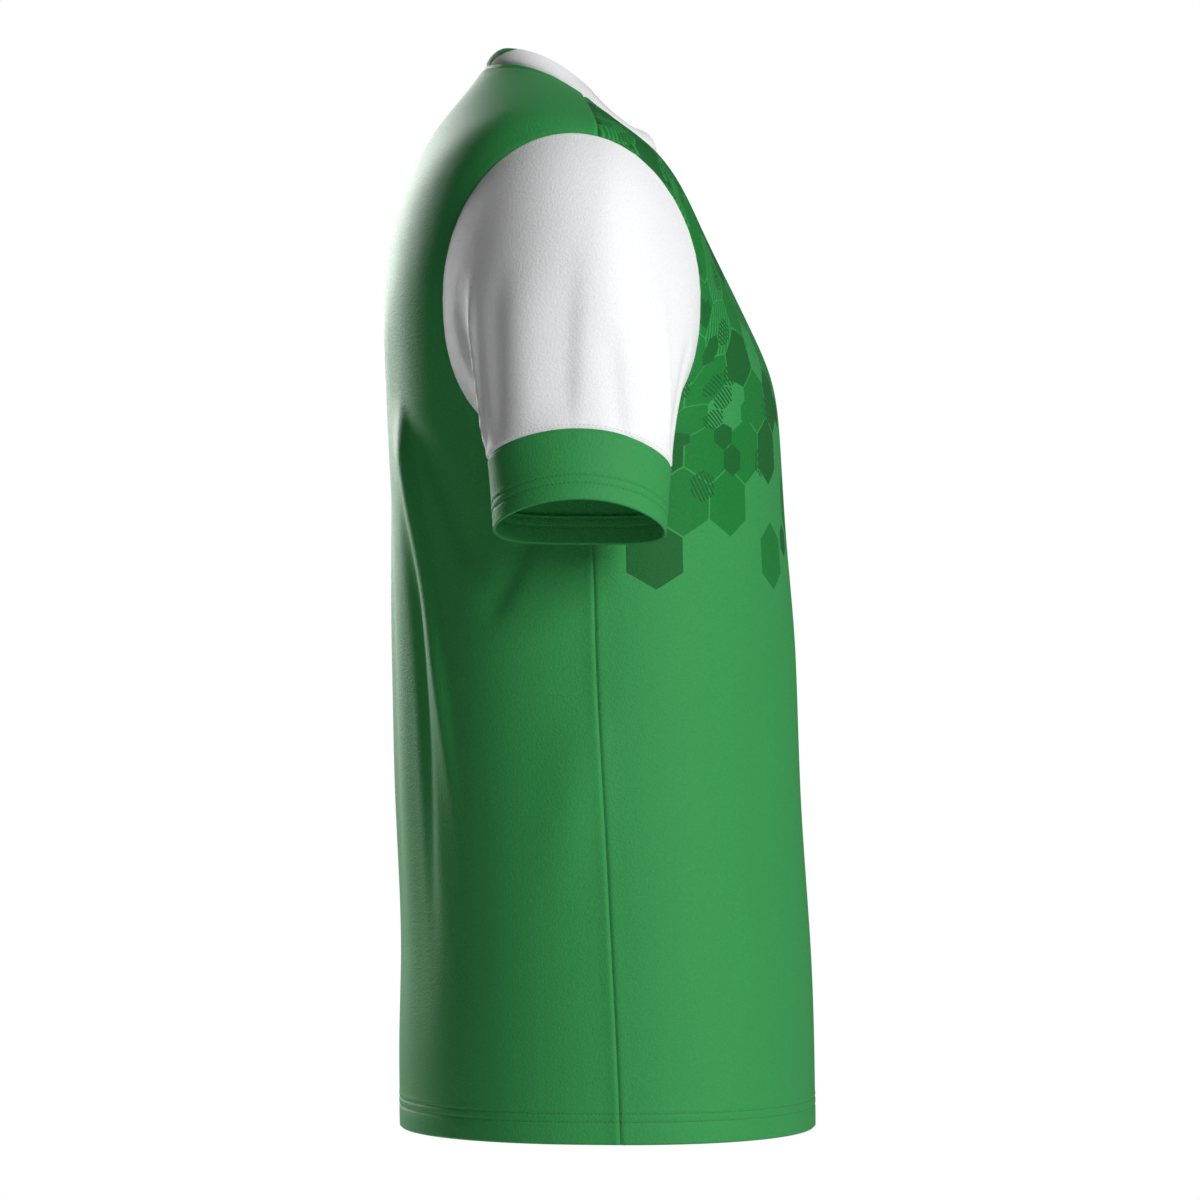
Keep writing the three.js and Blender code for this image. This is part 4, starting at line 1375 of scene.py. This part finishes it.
@dataclass
class Collar:
    """The ribbed collar: a white band and a green insert at the back."""

    form: CollarForm
    neck_seam: Seam
    join_seams: list[Seam]
    pitch: float = 1.55
    rib: float = 0.42
    columns_per_rib: int = 6
    rows: int = 13

    LOW_ROWS = (0.0, 0.04, 0.1)
    FIRST_EVEN_ROW = 0.18
    FOLD_FROM = 0.86  # where the band starts to fold over at its free edge
    FOLD_THINS = 0.35
    RIB_ROUNDNESS = 0.7
    LENGTH_SAMPLES = 600

    def piece(self, name: str, start: float, end: float, place: Callable[[Array, Array], Array]) -> Shell:
        """One ribbed piece of the collar.

        Args:
            name: the piece's name.
            start: the turn of its first end, on the neck seam.
            end: the turn of its other end.
            place: turns the height and a turn on the seam into the turn at that height.

        Returns:
            The piece's wall.
        """
        fine = np.linspace(start, end, self.LENGTH_SAMPLES)
        run = lengths_along(self.form.surface(np.zeros_like(fine), fine), 0)
        ribs = int(round(run[-1] / self.pitch))
        count = ribs * self.columns_per_rib
        turned = np.interp(np.linspace(0, run[-1], count + 1), run, fine)
        even = np.linspace(self.FIRST_EVEN_ROW, 1, self.rows - len(self.LOW_ROWS))
        up = np.concatenate([self.LOW_ROWS, even])
        up, seam = np.meshgrid(up, turned, indexing="ij")
        round_ = place(up, seam)
        points = self.form.surface(up, round_)
        normals = self.form.normals(up, round_)
        for one in (self.neck_seam, *self.join_seams):
            points, normals = one.sink(points, normals)
        phase = 2 * np.pi * np.arange(count + 1) / self.columns_per_rib
        ridge = self.rib * (0.5 - 0.5 * np.cos(phase)) ** self.RIB_ROUNDNESS
        fold = 1 - self.FOLD_THINS * ease((up - self.FOLD_FROM) / (1 - self.FOLD_FROM))
        outer = (OUTER - self.rib / 2) * fold + ridge[None] * fold
        return Shell(name, points, normals, outer, -outer, uv_centre=True)

    def band(self) -> Shell:
        """The white band, which leans back towards its ends."""
        end = float(self.form.join(np.array(0.0)))

        def place(up: Array, seam: Array) -> Array:
            """Leans the columns past the shoulder seams."""
            past = np.maximum(np.abs(seam) - 1, 0.0)
            leaning = past * (self.form.join(up) - 1) / (end - 1)
            return np.sign(seam) * (np.abs(seam) - past + leaning)

        return self.piece("collar_band_rib", -end, end, place)

    def insert(self) -> Shell:
        """The green insert at the back of the neck."""
        end = float(self.form.join(np.array(0.0)))

        def place(up: Array, seam: Array) -> Array:
            """Widens the insert towards its free edge."""
            return 2 + (seam - 2) * (2 - self.form.join(up)) / (2 - end)

        return self.piece("collar_insert_rib", end, 4 - end, place)


@dataclass
class Jersey:
    """The whole garment: its form, seams, finishes and pieces."""

    green: Colour = (0.040, 0.302, 0.080)
    middle_tone: Colour = (0.014, 0.200, 0.038)
    dark_tone: Colour = (0.013, 0.130, 0.028)
    white: Colour = (0.93, 0.935, 0.945)
    rib_white: Colour = (0.85, 0.855, 0.865)
    thread_shade: float = 0.65
    neck_stitch_lift: float = 0.15

    SEAM_PITCH = 0.5
    SEAM_SAMPLES = 1600
    CUFF_SAMPLES = 1200
    UNDER_SAMPLES = 200
    JOIN_SAMPLES = 60

    def __post_init__(self) -> None:
        """Makes the forms, the finishes and the seams."""
        self.body = BodyForm()
        groups = Groups(knit_relief(), cloth_tint(), HoneycombPrint().group())
        self.body_knit = Knit("green_knit", self.green, groups)
        tones = {"middle_tone": self.middle_tone, "dark_tone": self.dark_tone}
        self.chest_knit = Knit("green_knit_printed", self.green, groups, **tones)
        self.white_knit = Knit("white_knit", self.white, groups, grain=0.16, drift=0.03)
        self.white_rib = Knit("white_rib", self.rib_white, groups, grain=0.16, drift=0.03, wale=0.0005)
        self.green_rib = Knit("green_rib", self.green, groups, wale=0.0005)
        self.green_thread = Thread("green_thread", tuple(self.thread_shade * value for value in self.green))
        self.white_thread = Thread("white_thread", self.white)

    def side_seam(self, left: bool) -> Seam:
        """The side seam and the shoulder seam of one side."""
        lows = np.arange(0, self.body.underarm, self.SEAM_PITCH)
        highs = np.arange(self.body.shoulder, NECK, self.SEAM_PITCH)
        along = np.concatenate([lows, highs])
        turned = np.full_like(along, -1.0 if left else 1.0)
        return Seam(self.body.surface(along, turned), self.body.normals(along, turned), depth=0.9)

    def neck_seam(self, collar: CollarForm) -> Seam:
        """The seam between the panels and the collar."""
        turned = np.linspace(-2, 2, self.SEAM_SAMPLES)
        neck = np.full_like(turned, NECK)
        zero = np.zeros_like(turned)
        outward = unit(self.body.normals(neck, turned) + collar.normals(zero, turned))
        return Seam(self.body.surface(neck, turned), outward, depth=0.8)

    def armhole_seam(self, sleeve: SleeveForm) -> Seam:
        """The seam between the panels and a sleeve."""
        turn = np.arange(self.SEAM_SAMPLES) / self.SEAM_SAMPLES
        along, round_ = self.body.armhole(turn)
        signed = -round_ if sleeve.is_left else round_
        body_out = self.body.normals(along, signed)
        sleeve_out = sleeve.normals_of(sleeve.plain, np.zeros_like(turn), turn)
        if sleeve.is_left:
            sleeve_out = sleeve_out * MIRROR
        return Seam(self.body.surface(along, signed), unit(body_out + sleeve_out), depth=0.8)

    def sleeve(self, is_left: bool) -> Sleeve:
        """One sleeve with its seams."""
        form = SleeveForm(self.body, is_left)
        mirror = MIRROR if is_left else np.ones(3)
        turn = np.arange(self.CUFF_SAMPLES) / self.CUFF_SAMPLES
        ring, edge = CUFF_SEAM.points(turn), CUFF_EDGE.points(turn)
        tangent = np.roll(ring, -1, axis=0) - np.roll(ring, 1, axis=0)
        cuff_seam = Seam(ring * mirror, unit(np.cross(tangent, edge - ring)) * mirror, depth=0.8)
        under = np.full(self.UNDER_SAMPLES, 0.5)
        down = np.linspace(0, 1, self.UNDER_SAMPLES)
        line = form.surface(down, under)
        over_cuff = CUFF_EDGE.points(under) - CUFF_SEAM.points(under)
        low = CUFF_SEAM.points(under) + over_cuff * down[:, None]
        out = form.normals_of(form.surface, down, under)
        tangent = CUFF_SEAM.points(under + STEP) - CUFF_SEAM.points(under - STEP)
        low_out = unit(np.cross(tangent, over_cuff))
        whole_line, whole_out = np.concatenate([line, low]), np.concatenate([out, low_out])
        under_seam = Seam(whole_line * mirror, whole_out * mirror, depth=0.6, reach=0.8)
        side = "left" if is_left else "right"
        return Sleeve(form, self.armhole_seam(form), cuff_seam, under_seam, side)

    def build(self) -> None:
        """Builds and dresses every piece."""
        sleeves = [self.sleeve(False), self.sleeve(True)]
        collar_form = CollarForm(self.body)
        neck_seam = self.neck_seam(collar_form)
        seams = [self.side_seam(False), self.side_seam(True), neck_seam]
        seams += [sleeve.armhole_seam for sleeve in sleeves]
        self.build_panels(seams)
        for sleeve in sleeves:
            self.build_sleeve(sleeve)
        self.build_collar(collar_form, neck_seam)

    def build_panels(self, seams: list[Seam]) -> None:
        """Builds the front and the back."""
        for is_front, name in ((True, "front_panel"), (False, "back_panel")):
            shell = Panel(self.body, is_front, seams, f"{name}_cloth").shell()
            knit = self.chest_knit if is_front else self.body_knit
            piece = shell.build(knit.material())
            settle(piece, "body_green", name)
            rows = BODY_HEM.stitch_rows(shell)
            neck_row = -1 - nearest(SEAM_STEPS, NECK_STITCH)
            lifted = shell.outside[neck_row] + self.neck_stitch_lift * shell.normals[neck_row]
            rows.append((lifted, shell.normals[neck_row], False))
            settle(stitches(f"{name}_stitches", rows, self.green_thread), "body_green")

    def build_sleeve(self, sleeve: Sleeve) -> None:
        """Builds a sleeve and its cuff band."""
        shell = sleeve.sleeve_shell()
        piece = shell.build(self.white_knit.material())
        settle(piece, "sleeve_white", f"sleeve_{sleeve.side}")
        row = -1 - nearest(SEAM_STEPS, SLEEVE_STITCH)
        rows = [(shell.outside[row], shell.normals[row], True)]
        settle(stitches(f"sleeve_{sleeve.side}_stitches", rows, self.white_thread), "sleeve_white")
        shell = sleeve.cuff_shell()
        piece = shell.build(self.body_knit.material())
        settle(piece, "cuff_green", f"cuff_{sleeve.side}")
        rows = CUFF_HEM.stitch_rows(shell)
        settle(stitches(f"cuff_{sleeve.side}_stitches", rows, self.green_thread), "cuff_green")

    def build_collar(self, form: CollarForm, neck_seam: Seam) -> None:
        """Builds the collar's band and insert."""
        joins = []
        for side in (1, -1):
            up = np.linspace(0, 1, self.JOIN_SAMPLES)
            turned = side * form.join(up)
            line, outward = form.surface(up, turned), form.normals(up, turned)
            joins.append(Seam(line, outward, depth=0.5, reach=0.8, swell=0))
        collar = Collar(form, neck_seam, joins)
        band = collar.band().build(self.white_rib.material())
        settle(band, "rib_white", "collar_band")
        insert = collar.insert().build(self.green_rib.material())
        settle(insert, "rib_green", "collar_insert")


@dataclass
class Studio:
    """The floor, the lights, the background and the camera."""

    camera_at: tuple[float, float, float] = (-5.0, -0.01155, -0.3417)
    lens: float = 217.4
    floor_height: float = -1.15
    floor_half: float = 2.0
    lit_place: tuple[float, float, float] = (0.0, 0.0, -0.34)

    def build(self) -> None:
        """Makes everything that isn't part of the jersey."""
        self.build_camera()
        self.build_floor()
        self.build_world()
        self.area("key", (-2.75, -2.55, 1.2), 1.7, 142.0)
        self.area("rim", (2.85, 1.5, 0.5), 1.5, 125.0)
        bpy.context.scene.view_settings.view_transform = "Standard"

    def build_camera(self) -> None:
        """Looks at the wearer's right side, level."""
        data = bpy.data.cameras.new("camera")
        data.lens = self.lens
        data.sensor_width = 36.0
        data.clip_end = 50.0
        camera = linked("camera", data)
        camera.location = self.camera_at
        camera.rotation_euler = (math.pi / 2, 0.0, -math.pi / 2)
        bpy.context.scene.camera = camera

    def build_floor(self) -> None:
        """A plain pale floor, well below the jersey."""
        half = self.floor_half
        corners = [(-half, -half), (half, -half), (half, half), (-half, half)]
        vertices = np.array([(x, y, self.floor_height) for x, y in corners])
        material, _, shader = new_material("pale_floor")
        shader.inputs["Base Color"].default_value = (0.8, 0.8, 0.8, 1.0)
        shader.inputs["Roughness"].default_value = 0.9
        floor = mesh_object("floor", vertices, np.array([[0, 1, 2, 3]]), material)

    def build_world(self) -> None:
        """White behind the jersey, and a weaker even light on it."""
        world = bpy.data.worlds.new("studio")
        world.use_nodes = True
        bpy.context.scene.world = world
        nodes = Nodes(world.node_tree)
        background = world.node_tree.nodes["Background"]
        seen = nodes.place("ShaderNodeLightPath").outputs["Is Camera Ray"]
        background.inputs["Color"].default_value = (1.0, 1.0, 1.0, 1.0)
        nodes.feed(background.inputs["Strength"], nodes.scale(seen, 0.0, 1.0, 0.08, 1.0))

    def area(self, name: str, place: tuple[float, float, float], size: float, power: float) -> None:
        """A square soft light that faces the jersey's middle."""
        data = bpy.data.lights.new(name, "AREA")
        data.size = size
        data.energy = power
        light = linked(name, data)
        light.location = place
        aim = Vector(self.lit_place) - Vector(place)
        light.rotation_euler = aim.to_track_quat("-Z", "Y").to_euler()


def write_sizes() -> None:
    """Updates the view layer."""
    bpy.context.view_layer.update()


def main() -> None:
    """Builds the studio and the jersey."""
    logging.basicConfig(level=logging.INFO, format="%(name)s: %(message)s")
    Studio().build()
    Jersey().build()
    write_sizes()


if __name__ == "__main__":
    main()
